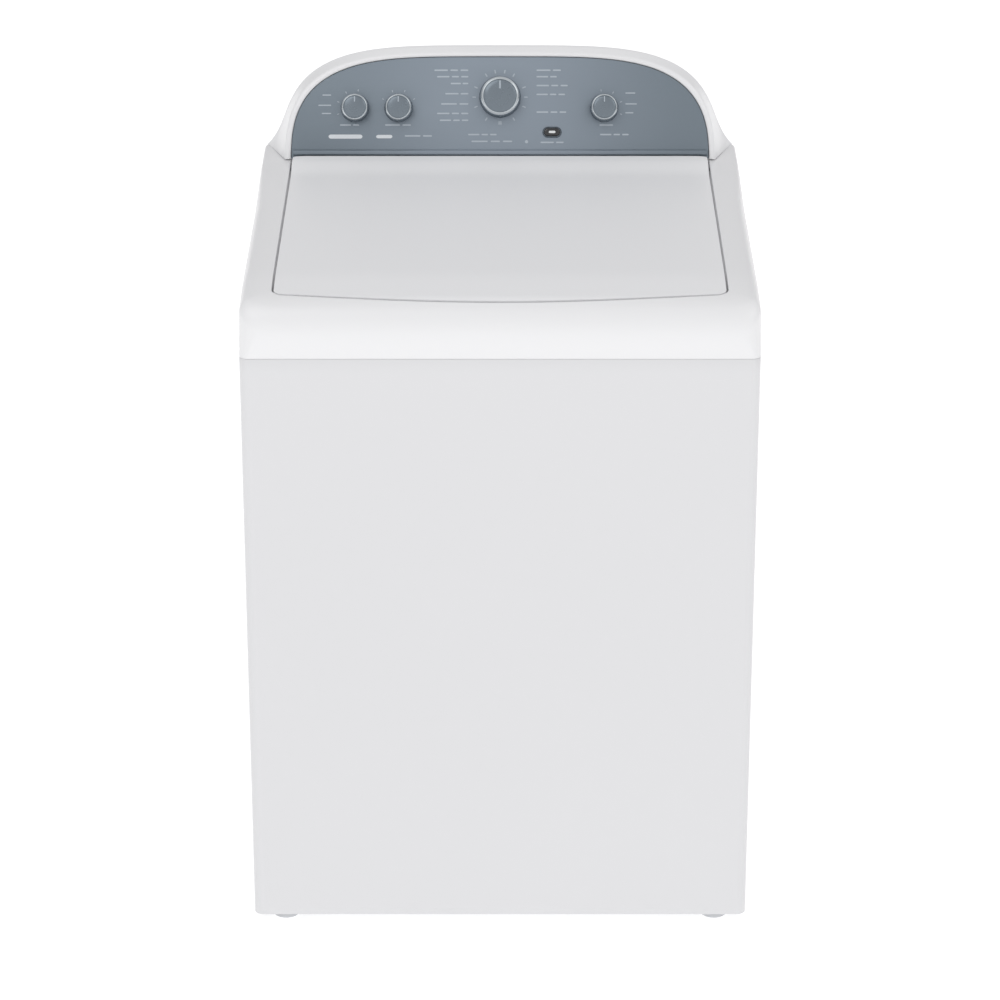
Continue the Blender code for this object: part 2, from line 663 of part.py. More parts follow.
def console_housing():
    """The arched surround: a rim round the panel, flaring out to the deck's edges behind it."""
    rear_half, rear_rise = HOUSING_REAR_HALF, HEIGHT - HOUSING_FOOT_Z
    rear_y = HOUSING_REAR_Y

    def front(half, rise, base, out):
        return [on_panel(x, up, out) for x, up in arch(half, rise, base)]

    def rear(half, rise, base, y, spread):
        ring = []
        for x, up in arch(half, rise, base):
            wide = spread * FLARE * math.exp(-up / FLARE_HEIGHT) * min(1.0, abs(x) / half)
            ring.append((x + math.copysign(wide, x), y, HOUSING_FOOT_Z + up))
        return ring

    def between(low, high, share):
        return [tuple(a + (b - a) * share for a, b in zip(first, second)) for first, second in zip(low, high)]

    rim_edge = front(0.3155, 0.1572, -0.0015, 0.0005)
    back_outer = rear(rear_half, rear_rise, 0.0, rear_y, 1.0)
    crown = rear(rear_half - 0.001, rear_rise - 0.001, 0.0, rear_y - 0.006, 0.9)
    back_inner = rear(rear_half - 0.004, rear_rise - 0.004, 0.003, rear_y, 0.0)
    cover_seat = rear(rear_half - 0.004, rear_rise - 0.004, 0.003, rear_y - 0.005, 0.0)
    front_inner = front(0.3072, 0.1500, -0.0004, -0.0065)
    rings = [front_inner, front(0.3069, 0.1497, -0.0004, 0.0018), front(0.3085, 0.1512, -0.0006, 0.0026),
             front(0.3135, 0.1555, -0.0012, 0.0022), rim_edge, between(rim_edge, crown, 0.5), crown,
             back_outer, back_inner, cover_seat,
             between(cover_seat, front(0.3090, 0.1510, 0.0025, -0.0080), 0.92)]
    object_from("console_housing", loft(rings, closed=True), "white_plastic")

    cover = [(x, HOUSING_FOOT_Z + up) for x, up in arch(rear_half - 0.0047, rear_rise - 0.0047, 0.0037)]
    back = object_from("console_rear_cover", prism(cover, rear_y - 0.0030, rear_y - 0.0012, "Y"), "zinc_steel")
    for number, x in enumerate(VALVE_PORTS_X):
        hole = bar((x, 0.31, VALVE_Z), (x, 0.34, VALVE_Z), 0.0145, 16)
        cut(back, object_from("port_hole_%d" % number, hole, None))


def console_panel():
    """The flat control panel with the ledge along its foot, and holes for the stems and the button."""
    outline = arch(PANEL_X, PANEL_UP)
    rings = [[on_panel(x, up, out) for x, up in outline] for out in (-PANEL_SHEET, 0.0)]
    panel = object_from("console_panel", loft(rings), "panel_satin")
    ledge = block((-LEDGE_HALF, LEDGE_UP[0], -0.0010), (LEDGE_HALF, LEDGE_UP[1], LEDGE_OUT))
    join(panel, object_from("panel_foot_ledge", ledge, None, None, panel_frame(0, 0)))
    places = [(x, SMALL_KNOB_UP) for x in SMALL_KNOBS.values()] + [(0.0, LARGE_KNOB_UP)]
    for number, (x, up) in enumerate(places):
        hole = bar(on_panel(x, up, -0.01), on_panel(x, up, 0.01), 0.0045)
        cut(panel, object_from("stem_hole_%d" % number, hole, None))
    hole = prism(pill(BUTTON_HALF[0] + 0.0005, BUTTON_HALF[1] + 0.0005), -0.01, 0.01)
    cut(panel, object_from("button_hole", hole, None, None, panel_frame(BUTTON_X, BUTTON_UP)))


def pill(half_long, half_high, steps=6):
    """An outline with straight sides and half-round ends."""
    points = []
    for centre, start in ((half_long - half_high, -90), (-half_long + half_high, 90)):
        for step in range(steps + 1):
            angle = math.radians(start + 180 * step / steps)
            points.append((centre + half_high * math.cos(angle), half_high * math.sin(angle)))
    return points


def knob_profile(radius, out):
    """A cap with a low skirt, a waist and a crowned face, on a stem behind the panel."""
    return [(0, -0.0100), (KNOB_STEM_R, -0.0100), (KNOB_STEM_R, 0.0010), (radius * 0.94, 0.0010),
            (radius, 0.0022), (radius, 0.0050), (radius * 0.93, 0.0075), (radius * 0.90, out * 0.86),
            (radius * 0.84, out * 0.96), (radius * 0.70, out), (0, out)]


def knobs():
    """Three alike and a larger one, each with its origin on its own axis at the panel's face."""
    shared = None
    for name, x in SMALL_KNOBS.items():
        place = panel_frame(x, SMALL_KNOB_UP)
        if shared is None:
            made = object_from(name, turned(knob_profile(SMALL_KNOB_R, SMALL_KNOB_OUT), ROUND_MEDIUM),
                               "knob_plastic", None, place)
            shared = made.data
        else:
            made = bpy.data.objects.new(name, shared.copy())
            bpy.context.scene.collection.objects.link(made)
            made.matrix_world = place
            made.data.materials[0] = finish_of(name, "knob_plastic")
    object_from("cycle_knob", turned(knob_profile(LARGE_KNOB_R, LARGE_KNOB_OUT), ROUND_MEDIUM + 4),
                "knob_plastic", None, panel_frame(0.0, LARGE_KNOB_UP))
    button = prism(pill(*BUTTON_HALF), -0.0060, 0.0038)
    object_from("start_button", button, "black_gloss", None, panel_frame(BUTTON_X, BUTTON_UP))


def control_board():
    """The board behind the panel, with a rotary switch behind each knob and one behind the button."""
    frame = panel_frame(0, 0)
    plate = block((-0.240, 0.022, BOARD_OUT), (0.185, 0.112, BOARD_OUT + 0.0016))
    board = object_from("control_board", plate, "board_green", None, frame)
    places = [(x, SMALL_KNOB_UP) for x in SMALL_KNOBS.values()] + [(0.0, LARGE_KNOB_UP)]
    for number, (x, up) in enumerate(places):
        body = turned([(0.0115, BOARD_OUT + 0.001), (0.0115, -0.0045), (0.0036, -0.0045),
                       (0.0036, BOARD_OUT + 0.001)], 16, (x, up))
        join(board, object_from("rotary_switch_%d" % number, body, None, None, frame))
    low = (BUTTON_X - 0.008, BUTTON_UP - 0.006, BOARD_OUT + 0.001)
    high = (BUTTON_X + 0.008, BUTTON_UP + 0.006, -0.0090)
    join(board, object_from("push_switch", block(low, high), None, None, frame))


def console_fittings():
    """Water valve with its two threaded ports, spray nozzle and pressure sensor."""
    body_low = (VALVE_PORTS_X[0] - 0.018, 0.2990, VALVE_Z - 0.018)
    body_high = (VALVE_PORTS_X[1] + 0.018, 0.3255, VALVE_Z + 0.014)
    valve = object_from("water_inlet_valve", block(body_low, body_high), "grey_plastic")
    for number, x in enumerate(VALVE_PORTS_X):
        port = bar((x, 0.320, VALVE_Z), (x, REAR_Y, VALVE_Z), 0.0132, 16)
        join(valve, object_from("valve_port_%d" % number, port, None))
        bore = bar((x, 0.330, VALVE_Z), (x, 0.360, VALVE_Z), 0.0105, 16)
        cut(valve, object_from("valve_bore_%d" % number, bore, None))

    spout = [(0.205, 0.8680), (0.2500, 0.8680), (0.2500, 0.9058), (0.2230, 0.9058), (0.2230, 0.8790),
             (0.205, 0.8760)]
    object_from("inlet_nozzle", prism(spout, -0.132, -0.082, "X"), "grey_plastic")

    sensor = [(0, 0), (0.022, 0), (0.022, 0.010), (0.014, 0.012), (0.014, 0.020), (0, 0.020)]
    place = Matrix.Translation((0.235, 0.3255, 0.985)) @ Matrix.Rotation(math.pi / 2, 4, "X")
    object_from("pressure_sensor", turned(sensor, 16), "grey_plastic", None, place)


def rear_fittings():
    """Drain outlet and cord gland through the rear panel."""
    x, z = DRAIN_OUTLET
    profile = [(0.0152, 0.3150), (0.0152, BACK_SHEET_Y - GAP), (0.0152, 0.3400), (0.0120, 0.3400),
               (0.0120, 0.3150)]
    place = Matrix.Translation((x, 0, z)) @ Matrix.Rotation(-math.pi / 2, 4, "X")
    object_from("drain_outlet", turned(profile, ROUND_SMALL), "grey_plastic", None, place)
    x, z = CORD_GLAND
    profile = [(0.0088, 0.3180), (0.0088, 0.3290), (0.0125, 0.3290), (0.0125, 0.3330), (0.0085, 0.3420),
               (0.0045, 0.3420), (0.0045, 0.3180)]
    place = Matrix.Translation((x, 0, z)) @ Matrix.Rotation(-math.pi / 2, 4, "X")
    object_from("power_cord_gland", turned(profile, ROUND_SMALL), "black_rubber", None, place)


# ---------------------------------------------------------------- suspension


def suspension():
    """A rod at each corner with a ball on top and a cup below, and the spring that holds up the tub."""
    profile = [(0, ROD_CUP_Z[0]), (0.0180, ROD_CUP_Z[0]), (0.0200, ROD_CUP_Z[1]), (ROD_R, ROD_CUP_Z[1]),
               (ROD_R, 0.8403), (0.0090, 0.8403), (0.0090, 0.8480), (0, 0.8520)]
    for name, side_x, side_y in (("front_left", -1, -1), ("front_right", 1, -1),
                                 ("rear_left", -1, 1), ("rear_right", 1, 1)):
        x, y = side_x * ROD_X, TUB_Y + side_y * ROD_DY
        object_from("suspension_rod_" + name, turned(profile, 10, (x, y)), "zinc_steel")
        object_from("suspension_spring_" + name, coil(x, y), "spring_steel")


def coil(x, y):
    """An open coil spring between the rod's cup and the tub's lug."""
    turns, per_turn, sides = 4.5, 6, 4
    radius, wire = 0.0140, 0.0022
    low, high = ROD_CUP_Z[1] + wire + GAP * 2, LUG_Z[0] - wire - GAP * 2
    count = int(turns * per_turn)
    rings = []
    for step in range(count + 1):
        angle = 2 * math.pi * step / per_turn
        height = low + (high - low) * step / count
        ring = []
        for side in range(sides):
            lean = 2 * math.pi * side / sides
            reach = radius + wire * math.cos(lean)
            ring.append((x + reach * math.cos(angle), y + reach * math.sin(angle), height + wire * math.sin(lean)))
        rings.append(ring)
    return loft(rings)


# ---------------------------------------------------------------- tub


def outer_tub(parent):
    """The water tub, with a lug out to each suspension rod and a seat for the bearing and seal."""
    inner = TUB_R - TUB_WALL
    profile = [(0.031, 0.1950), (0.190, 0.2030), (0.266, 0.2130), (TUB_R, 0.2350), (TUB_R, 0.7540),
               (0.2945, 0.7540), (0.2945, TUB_TOP_Z), (inner, TUB_TOP_Z), (inner, 0.2370),
               (0.264, 0.2170), (0.190, 0.2070), (0.040, 0.2000), (0.038, 0.2300), (0.031, 0.2300)]
    tub = object_from("outer_tub", turned(profile, ROUND_LARGE, (0, TUB_Y)), "tub_plastic", parent)
    for number, (side_x, side_y) in enumerate(((-1, -1), (1, -1), (-1, 1), (1, 1))):
        direction = Vector((side_x * ROD_X, side_y * ROD_DY))
        reach = direction.length
        arm = block((TUB_R - 0.0025, -0.024, LUG_Z[0]), (reach + 0.018, 0.024, LUG_Z[1]))
        turn = Matrix.Rotation(math.atan2(direction.y, direction.x), 4, "Z")
        place = Matrix.Translation((0, TUB_Y, 0)) @ turn
        join(tub, object_from("lug_%d" % number, arm, None, None, place))
        hole = bar((reach, 0, 0.24), (reach, 0, 0.30), ROD_R + 0.0015)
        cut(tub, object_from("lug_hole_%d" % number, hole, None, None, place))


def tub_ring(parent):
    """The splash ring clipped on the tub's rim, reaching in over the basket."""
    low = TUB_TOP_Z + GAP
    profile = [(0.2945, low), (0.2945, 0.7740), (0.2700, 0.7900), (0.2450, 0.8000), (0.2320, 0.7960),
               (0.2320, 0.7915), (0.2450, 0.7960), (0.2680, 0.7860), (0.2890, 0.7720), (0.2890, low)]
    object_from("tub_ring", turned(profile, ROUND_LARGE, (0, TUB_Y)), "white_plastic", parent)


def spindle_pieces(parent):
    """Bearings and seal round the spindle, and the gearcase bolted under the tub."""
    inner, outer = TUBE_R + GAP, 0.0305
    for name, low, high, finish in (("upper_bearing", 0.1985, 0.2140, "stainless"),
                                    ("tub_seal", 0.2143, 0.2280, "black_rubber"),
                                    ("lower_bearing", 0.1560, 0.1680, "stainless")):
        profile = [(outer, low), (outer, high), (inner, high), (inner, low)]
        object_from(name, turned(profile, ROUND_MEDIUM, (0, TUB_Y)), finish, parent)
    seat = outer + GAP * 2
    profile = [(0.060, 0.1050), (0.078, 0.1180), (0.078, 0.1800), (0.115, 0.1850), (0.115, 0.1915),
               (seat, 0.1915), (seat, 0.1530), (0.050, 0.1450), (0.050, 0.1200),
               (SHAFT_R + GAP, 0.1150), (SHAFT_R + GAP, 0.1050)]
    object_from("gearcase", turned(profile, 24, (0, TUB_Y)), "cast_aluminium", parent)


def tub_machinery(parent):
    """Motor, its capacitor, drain pump and drive belt, all carried under the tub."""
    profile = [(0, 0.1780), (0.050, 0.1780), (0.062, 0.1680), (0.062, 0.1120), (0.052, 0.1020),
               (0.0068, 0.1020), (0.0068, 0.1300), (0, 0.1300)]
    motor = object_from("motor", turned(profile, 24, (MOTOR_X, TUB_Y)), "cast_aluminium", parent)
    for side in (-1, 1):
        post = bar((MOTOR_X, TUB_Y + side * 0.038, 0.170), (MOTOR_X, TUB_Y + side * 0.038, 0.2005), 0.009)
        join(motor, object_from("motor_post_%d" % side, post, None))
    capacitor = [(0, 0.1250), (0.0190, 0.1250), (0.0200, 0.1270), (0.0200, 0.1950), (0, 0.1950)]
    object_from("capacitor", turned(capacitor, 16, (0.070, 0.150)), "zinc_steel", parent)

    profile = [(0, 0.1960), (0.030, 0.1960), (0.030, 0.1700), (0.045, 0.1700), (0.045, 0.1100),
               (0.014, 0.1100), (0.014, 0.1140), (0.037, 0.1140), (0.037, 0.1360), (0.0050, 0.1360),
               (0.0050, 0.1500), (0, 0.1500)]
    pump = object_from("drain_pump", turned(profile, 24, (PUMP_X, PUMP_Y)), "grey_plastic", parent)
    spigot_x = PUMP_X - 0.030
    spigot = bar((spigot_x, PUMP_Y + 0.031, PUMP_OUT_Z), (spigot_x, PUMP_Y + 0.075, PUMP_OUT_Z), 0.0095)
    join(pump, object_from("pump_spigot", spigot, None))
    object_from("drive_belt", drive_belt(), "black_rubber", parent)


def drive_belt():
    """A flat belt round the large and the small pulley."""
    large, small = PULLEY_R + GAP, MOTOR_PULLEY_R + GAP
    lean = math.acos((large - small) / MOTOR_X)
    low, high = PULLEY_BAND_Z[0] + 0.0008, PULLEY_BAND_Z[1] - 0.0008

    def track(offset):
        points = []
        for radius, centre, start, end, steps in ((large, 0.0, lean, 2 * math.pi - lean, 24),
                                                  (small, MOTOR_X, -lean, lean, 8)):
            for step in range(steps + 1):
                angle = start + (end - start) * step / steps
                reach = (radius + offset) / math.cos((end - start) / steps / 2)
                points.append((centre + reach * math.cos(angle), TUB_Y + reach * math.sin(angle)))
        return points

    inner, outer = track(0.0002), track(0.0035)
    rings = [[(x, y, z) for x, y in outline]
             for outline, z in ((outer, low), (outer, high), (inner, high), (inner, low))]
    return loft(rings, closed=True)


def pulleys(drive_parent, motor_parent):
    """The large pulley on its input shaft, and the motor's pulley on its own."""
    profile = [(0, 0.0780), (0.030, 0.0780), (0.030, 0.0835), (0.070, 0.0835), (0.070, PULLEY_Z[0]),
               (0.0885, PULLEY_Z[0]), (PULLEY_R, PULLEY_BAND_Z[0]), (PULLEY_R, PULLEY_BAND_Z[1]),
               (0.0885, PULLEY_Z[1]), (0.070, PULLEY_Z[1]), (0.070, 0.0885), (0.030, 0.0885),
               (0.030, 0.0980), (SHAFT_R, 0.0980), (SHAFT_R, 0.1280), (0, 0.1280)]
    object_from("drive_pulley", turned(profile, 20, (0, TUB_Y)), "cast_aluminium", drive_parent)
    profile = [(0, PULLEY_Z[0]), (0.0285, PULLEY_Z[0]), (MOTOR_PULLEY_R, PULLEY_BAND_Z[0]),
               (MOTOR_PULLEY_R, PULLEY_BAND_Z[1]), (0.0285, PULLEY_Z[1]), (0.0062, PULLEY_Z[1]),
               (0.0062, 0.1285), (0, 0.1285)]
    object_from("motor_pulley", turned(profile, ROUND_MEDIUM, (MOTOR_X, TUB_Y)), "zinc_steel", motor_parent)


def pump_impeller(parent):
    """Four straight vanes on a disc, inside the pump's volute."""
    centre = (PUMP_X, PUMP_Y)
    profile = [(0, 0.1290), (0.030, 0.1290), (0.030, 0.1315), (0.0042, 0.1315), (0.0042, 0.1480), (0, 0.1480)]
    impeller = object_from("pump_impeller", turned(profile, 16, centre), "grey_plastic", parent)
    for number in range(2):
        vane = block((-0.028, -0.0015, 0.1185), (0.028, 0.0015, 0.1300))
        place = Matrix.Translation((*centre, 0)) @ Matrix.Rotation(math.pi / 2 * number, 4, "Z")
        join(impeller, object_from("impeller_vane_%d" % number, vane, None, None, place))


def drain_hose():
    """The hose inside the cabinet, from the pump up the rear left corner to the drain outlet."""
    start = Vector((PUMP_X - 0.030, PUMP_Y + 0.0760, PUMP_OUT_Z))
    end_x, end_z = DRAIN_OUTLET
    route = [start, start + Vector((-0.002, 0.080, 0.0)), Vector((-0.205, 0.130, 0.110)),
             Vector((-0.232, 0.240, 0.105)), Vector((-0.236, 0.288, 0.170)), Vector((-0.232, 0.292, 0.300)),
             Vector((-0.236, 0.288, 0.560)), Vector((end_x, 0.270, 0.700)), Vector((end_x, 0.262, 0.765)),
             Vector((end_x, 0.276, 0.803)), Vector((end_x, 0.295, end_z)), Vector((end_x, 0.3145, end_z))]
    curve = bpy.data.curves.new("drain_hose", "CURVE")
    curve.dimensions = "3D"
    curve.bevel_depth = 0.0105
    curve.bevel_resolution = 2
    curve.use_fill_caps = True
    spline = curve.splines.new("POLY")
    points = smooth_route(route, 4)
    spline.points.add(len(points) - 1)
    for slot, point in zip(spline.points, points):
        slot.co = (*point, 1.0)
    hose = bpy.data.objects.new("drain_hose", curve)
    bpy.context.scene.collection.objects.link(hose)
    curve.materials.append(finish_of("drain_hose", "grey_plastic"))


def smooth_route(route, per_span):
    """Points along a Catmull-Rom curve through the route's own points."""
    padded = [2 * route[0] - route[1]] + route + [2 * route[-1] - route[-2]]
    points = []
    for before, start, end, after in zip(padded, padded[1:], padded[2:], padded[3:]):
        for step in range(per_span):
            share = step / per_span
            points.append(0.5 * (2 * start + (end - before) * share
                                 + (2 * before - 5 * start + 4 * end - after) * share ** 2
                                 + (3 * start - before - 3 * end + after) * share ** 3))
    points.append(route[-1])
    return points


# ---------------------------------------------------------------- basket and agitator


def basket(parent):
    """The spin basket on its tube, with the balance ring on its rim."""
    inner = BASKET_R - 0.0015
    profile = [(TUBE_R + GAP, 0.2360), (0.050, 0.2360), (0.250, 0.2400), (BASKET_R, 0.2560),
               (BASKET_R, 0.7000), (inner, 0.7000), (inner, 0.2570), (0.249, 0.2415), (0.050, 0.2375),
               (0.030, 0.2375), (0.030, 0.2580), (TUBE_R + GAP, 0.2580)]
    object_from("wash_basket", turned(profile, ROUND_LARGE, (0, TUB_Y)), "stainless", parent)
    low, high = 0.7003, 0.7480
    profile = [(BASKET_R, low), (BASKET_R, high - 0.010), (0.2600, high), (0.2460, high),
               (0.2370, high - 0.012), (0.2370, low)]
    object_from("balance_ring", turned(profile, ROUND_LARGE, (0, TUB_Y)), "white_plastic", parent)
    inner = SHAFT_R + GAP
    profile = [(TUBE_R, 0.1540), (TUBE_R, 0.2583), (0.0260, 0.2583), (0.0260, 0.2625), (inner, 0.2625),
               (inner, 0.1540)]
    object_from("spin_tube", turned(profile, ROUND_MEDIUM, (0, TUB_Y)), "stainless", parent)


def agitator(parent):
    """A flared base and post with four fins, its cap, and the shaft that turns it."""
    profile = [(0.205, 0.2465), (0.205, 0.2520), (0.150, 0.2620), (0.092, 0.2860), (0.062, 0.3350),
               (0.052, 0.4200), (0.046, 0.6000), (0.043, 0.6120), (0.0360, 0.6120), (0.0390, 0.5900),
               (0.0440, 0.4200), (0.0480, 0.3300), (0.0440, 0.3100), (SHAFT_R + GAP, 0.3100),
               (SHAFT_R + GAP, 0.2850), (0.0550, 0.2850), (0.0850, 0.2720), (0.150, 0.2565),
               (0.199, 0.2465)]
    post = object_from("agitator", turned(profile, 24, (0, TUB_Y)), "white_plastic", parent)
    fin = [(0.198, 0.2500), (0.199, 0.2740), (0.150, 0.2980), (0.102, 0.3450), (0.082, 0.4200),
           (0.076, 0.5650), (0.060, 0.5850), (0.0430, 0.5850), (0.0480, 0.4200), (0.0560, 0.3350),
           (0.0880, 0.2800), (0.150, 0.2593)]
    for number in range(4):
        place = Matrix.Translation((0, TUB_Y, 0)) @ Matrix.Rotation(math.pi / 2 * (number + 0.43), 4, "Z")
        blade = prism(fin, -0.0035, 0.0035, "Y")
        join(post, object_from("agitator_fin_%d" % number, blade, None, None, place))
    cap = [(0, 0.5980), (0.0352, 0.5980), (0.0352, 0.6124), (0.0450, 0.6124), (0.0450, 0.6240),
           (0.0360, 0.6360), (0.0180, 0.6400), (0, 0.6400)]
    object_from("agitator_cap", turned(cap, 24, (0, TUB_Y)), "grey_plastic", parent)
    shaft = [(0, 0.1290), (SHAFT_R, 0.1290), (SHAFT_R, 0.3095), (0, 0.3095)]
    object_from("drive_shaft", turned(shaft, ROUND_SMALL, (0, TUB_Y)), "stainless", parent)


def build():
    clear_scene()
    tub_axis = axis_empty("tub_slide_axis", (0, TUB_Y, 0))
    basket_axis = axis_empty("basket_axis", (0, TUB_Y, 0), tub_axis)
    agitator_axis = axis_empty("agitator_axis", (0, TUB_Y, 0), tub_axis)
    drive_axis = axis_empty("drive_pulley_axis", (0, TUB_Y, 0), tub_axis)
    motor_axis = axis_empty("motor_axis", (MOTOR_X, TUB_Y, 0), tub_axis)
    pump_axis = axis_empty("pump_axis", (PUMP_X, PUMP_Y, 0), tub_axis)
    lid_axis = axis_empty("lid_hinge_axis", (0, HINGE_Y, HINGE_Z))
    cabinet_wrap()
    rear_panel()
    base_frame()
    feet()
    top_braces()
    top_deck()
    lid(lid_axis)
    lid_fittings()
    console_housing()
    console_panel()
    knobs()
    control_board()
    console_fittings()
    rear_fittings()
    suspension()
    outer_tub(tub_axis)
    tub_ring(tub_axis)
    spindle_pieces(tub_axis)
    tub_machinery(tub_axis)
    basket(basket_axis)
    agitator(agitator_axis)
    pulleys(drive_axis, motor_axis)
    pump_impeller(pump_axis)
    drain_hose()


build()
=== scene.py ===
"""Looks of the top load washing machine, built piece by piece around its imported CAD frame."""

import json
import math

import bmesh
import bpy
from mathutils import Matrix, Vector


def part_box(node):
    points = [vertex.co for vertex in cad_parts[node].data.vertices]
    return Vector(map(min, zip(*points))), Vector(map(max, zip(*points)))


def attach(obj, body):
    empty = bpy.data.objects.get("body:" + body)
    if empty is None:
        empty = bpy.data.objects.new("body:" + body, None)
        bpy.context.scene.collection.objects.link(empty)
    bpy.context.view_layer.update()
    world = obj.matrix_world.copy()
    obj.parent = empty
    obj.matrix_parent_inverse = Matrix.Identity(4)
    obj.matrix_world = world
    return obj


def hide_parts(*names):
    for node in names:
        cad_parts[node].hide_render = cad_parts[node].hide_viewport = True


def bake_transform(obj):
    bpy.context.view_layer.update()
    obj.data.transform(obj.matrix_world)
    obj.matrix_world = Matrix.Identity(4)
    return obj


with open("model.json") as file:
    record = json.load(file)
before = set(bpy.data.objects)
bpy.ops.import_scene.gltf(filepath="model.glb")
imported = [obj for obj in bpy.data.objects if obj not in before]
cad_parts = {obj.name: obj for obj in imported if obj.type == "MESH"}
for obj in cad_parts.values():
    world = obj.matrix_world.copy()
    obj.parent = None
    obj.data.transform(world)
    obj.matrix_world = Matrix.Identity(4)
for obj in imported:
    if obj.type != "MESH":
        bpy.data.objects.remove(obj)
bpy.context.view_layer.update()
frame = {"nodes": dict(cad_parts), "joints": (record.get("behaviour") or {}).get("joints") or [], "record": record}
JOINTS = {joint["name"]: joint for joint in frame["joints"]}
BODY_OF = {node: body for body, nodes in frame["record"]["behaviour"]["bodies"].items() for node in nodes}

# Places read from the frame.
DECK_LOW, DECK_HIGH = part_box("top_deck")
CABINET_LOW, CABINET_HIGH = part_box("cabinet_wrap")
HOUSING_LOW, HOUSING_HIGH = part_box("console_housing")
TUB_Y = JOINTS["basket_spin"]["pos_m"][1]
KNOB_AXIS = Vector(JOINTS["cycle_knob_turn"]["axis"])
KNOB_BASE = Vector(JOINTS["cycle_knob_turn"]["pos_m"])
MOTOR = Vector(JOINTS["motor_spin"]["pos_m"])
PUMP = Vector(JOINTS["pump_spin"]["pos_m"])
HALF_WIDTH = DECK_HIGH[0]
FRONT_Y = DECK_LOW[1]
SHELL_REAR_Y = DECK_HIGH[1]
DECK_Z = 0.940
SEAM_Z = DECK_LOW[2]

# Top deck.
ROLL_FRONT = 0.040
ROLL_SIDE = 0.020
ROLL_SIDE_REAR = 0.006
ROLL_REAR = 0.004
ROLL_FADE_Y = (0.050, 0.250)
DECK_CORNER = 0.030
DECK_REAR_CORNER = 0.006
DECK_WALL = 0.0022
CABINET_CORNER = 0.012
FRONT_SLOPE = 0.095
FRONT_SLOPE_Y = -0.236
FRONT_SLOPE_BLEND = 0.012
RECESS_X = 0.3068
RECESS_FRONT_Y = -0.3008
RECESS_REAR_Y = 0.258
RECESS_CORNER = 0.017
RECESS_REAR_CORNER = 0.012
RECESS_FLOOR_Z = 0.909
FRONT_BOW = 0.0175
OPENING_X = 0.245
OPENING_FRONT_Y = -0.245
OPENING_REAR_Y = 0.215
OPENING_CORNER = 0.105
OPENING_LIP_Z = 0.880

# Lid.
LID_X = 0.304
LID_FRONT_Y = -0.298
LID_REAR_Y = 0.240
LID_CORNER = 0.014
LID_INNER_INSET = 0.0035
LID_INNER_REAR_Y = 0.204
LID_SHEET = 0.0014
LID_SKIRT = 0.020
LID_EDGE = 0.0022
LID_RISE_LENGTH = 0.060
LID_RISE = 0.010
LID_SIDE_DROP = 0.0015
LID_SCREWS = ((-0.27, -0.20), (0.27, -0.20), (-0.27, 0.02), (0.27, 0.02), (-0.20, 0.195), (0.20, 0.195))
LID_BUMPERS = ((-0.265, -0.262), (0.265, -0.262), (-0.275, 0.16), (0.275, 0.16))

# Console.
PANEL_LEAN = math.atan2(KNOB_AXIS.z, -KNOB_AXIS.y)
PANEL_SHEET = 0.0025
PANEL_BASE_Z = 0.9425
PANEL_BASE_Y = KNOB_BASE.y - (KNOB_BASE.z - PANEL_BASE_Z) * math.tan(PANEL_LEAN)
PANEL_X = 0.3064
PANEL_UP = 0.1490
ARCH_SIDE_POWER = 4.2
ARCH_TOP_POWER = 2.6
HOUSING_REAR_HALF = 0.318
FLARE = 0.028
FLARE_HEIGHT = 0.027
LEDGE_HALF = 0.3035
LEDGE_UP = (0.0040, 0.0125)
LEDGE_OUT = 0.0055
FOOT_Z = HOUSING_LOW[2]
SMALL_KNOB_R = 0.0210
SMALL_KNOB_OUT = 0.0200
LARGE_KNOB_R = 0.0305
LARGE_KNOB_OUT = 0.0220
BUTTON_X = 0.0765
BUTTON_UP = 0.0385
BUTTON_HALF = (0.0120, 0.0060)
CONSOLE_SCREWS = ((-0.300, 0.955), (0.300, 0.955), (-0.150, 0.950), (0.150, 0.950), (0.0, 0.950),
                  (-0.225, 1.055), (0.225, 1.055), (0.0, 1.078))

# Tub.
TUB_R = 0.288
TUB_TOP_Z = 0.7597
BASKET_R = 0.268
SHAFT_R = 0.0085
ROD_X = 0.300
ROD_DY = 0.280
ROD_CUP_Z = (0.200, 0.212)
LUG_Z = (0.262, 0.275)
BACK_SHEET_Y = 0.3265
DRAIN_OUTLET = (-0.236, 0.810)
CORD_GLAND = (0.290, 0.810)
VALVE_PORTS_X = (-0.262, -0.222)
VALVE_Z = 0.972
CORNERS = (("front_left", -1, -1), ("front_right", 1, -1), ("rear_left", -1, 1), ("rear_right", 1, 1))


# ---------------------------------------------------------------- mesh tools


def finish_mesh(name, bm, look, body, sharp=38):
    """Make an object of a bmesh, shade it, dress it and let it ride on its body, if it has one."""
    bmesh.ops.recalc_face_normals(bm, faces=bm.faces)
    mesh = bpy.data.meshes.new(name)
    bm.to_mesh(mesh)
    bm.free()
    mesh.shade_smooth()
    mesh.set_sharp_from_angle(angle=math.radians(sharp))
    made = bpy.data.objects.new(name, mesh)
    bpy.context.scene.collection.objects.link(made)
    made.data.materials.append(look)
    if body:
        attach(made, body)
    return made


def extra(name, bm, look, node, sharp=38, loose=False):
    """A detail that belongs with a CAD node. It rides on the node's body unless it is loose."""
    made = finish_mesh(name, bm, look, None if loose else BODY_OF[node], sharp)
    return made


def stand_in(name, bm, look, node, sharp=38, loose=False):
    """A finer piece in place of a CAD node. A loose one rides on no body."""
    made = extra(name, bm, look, node, sharp, loose)
    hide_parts(node)
    return made


def moved(bm, matrix):
    bmesh.ops.transform(bm, matrix=matrix, verts=bm.verts)
    return bm


def gather(*parts):
    """Several bmeshes in one."""
    whole = bmesh.new()
    for part in parts:
        mesh = bpy.data.meshes.new("part")
        part.to_mesh(mesh)
        part.free()
        whole.from_mesh(mesh)
        bpy.data.meshes.remove(mesh)
    return whole


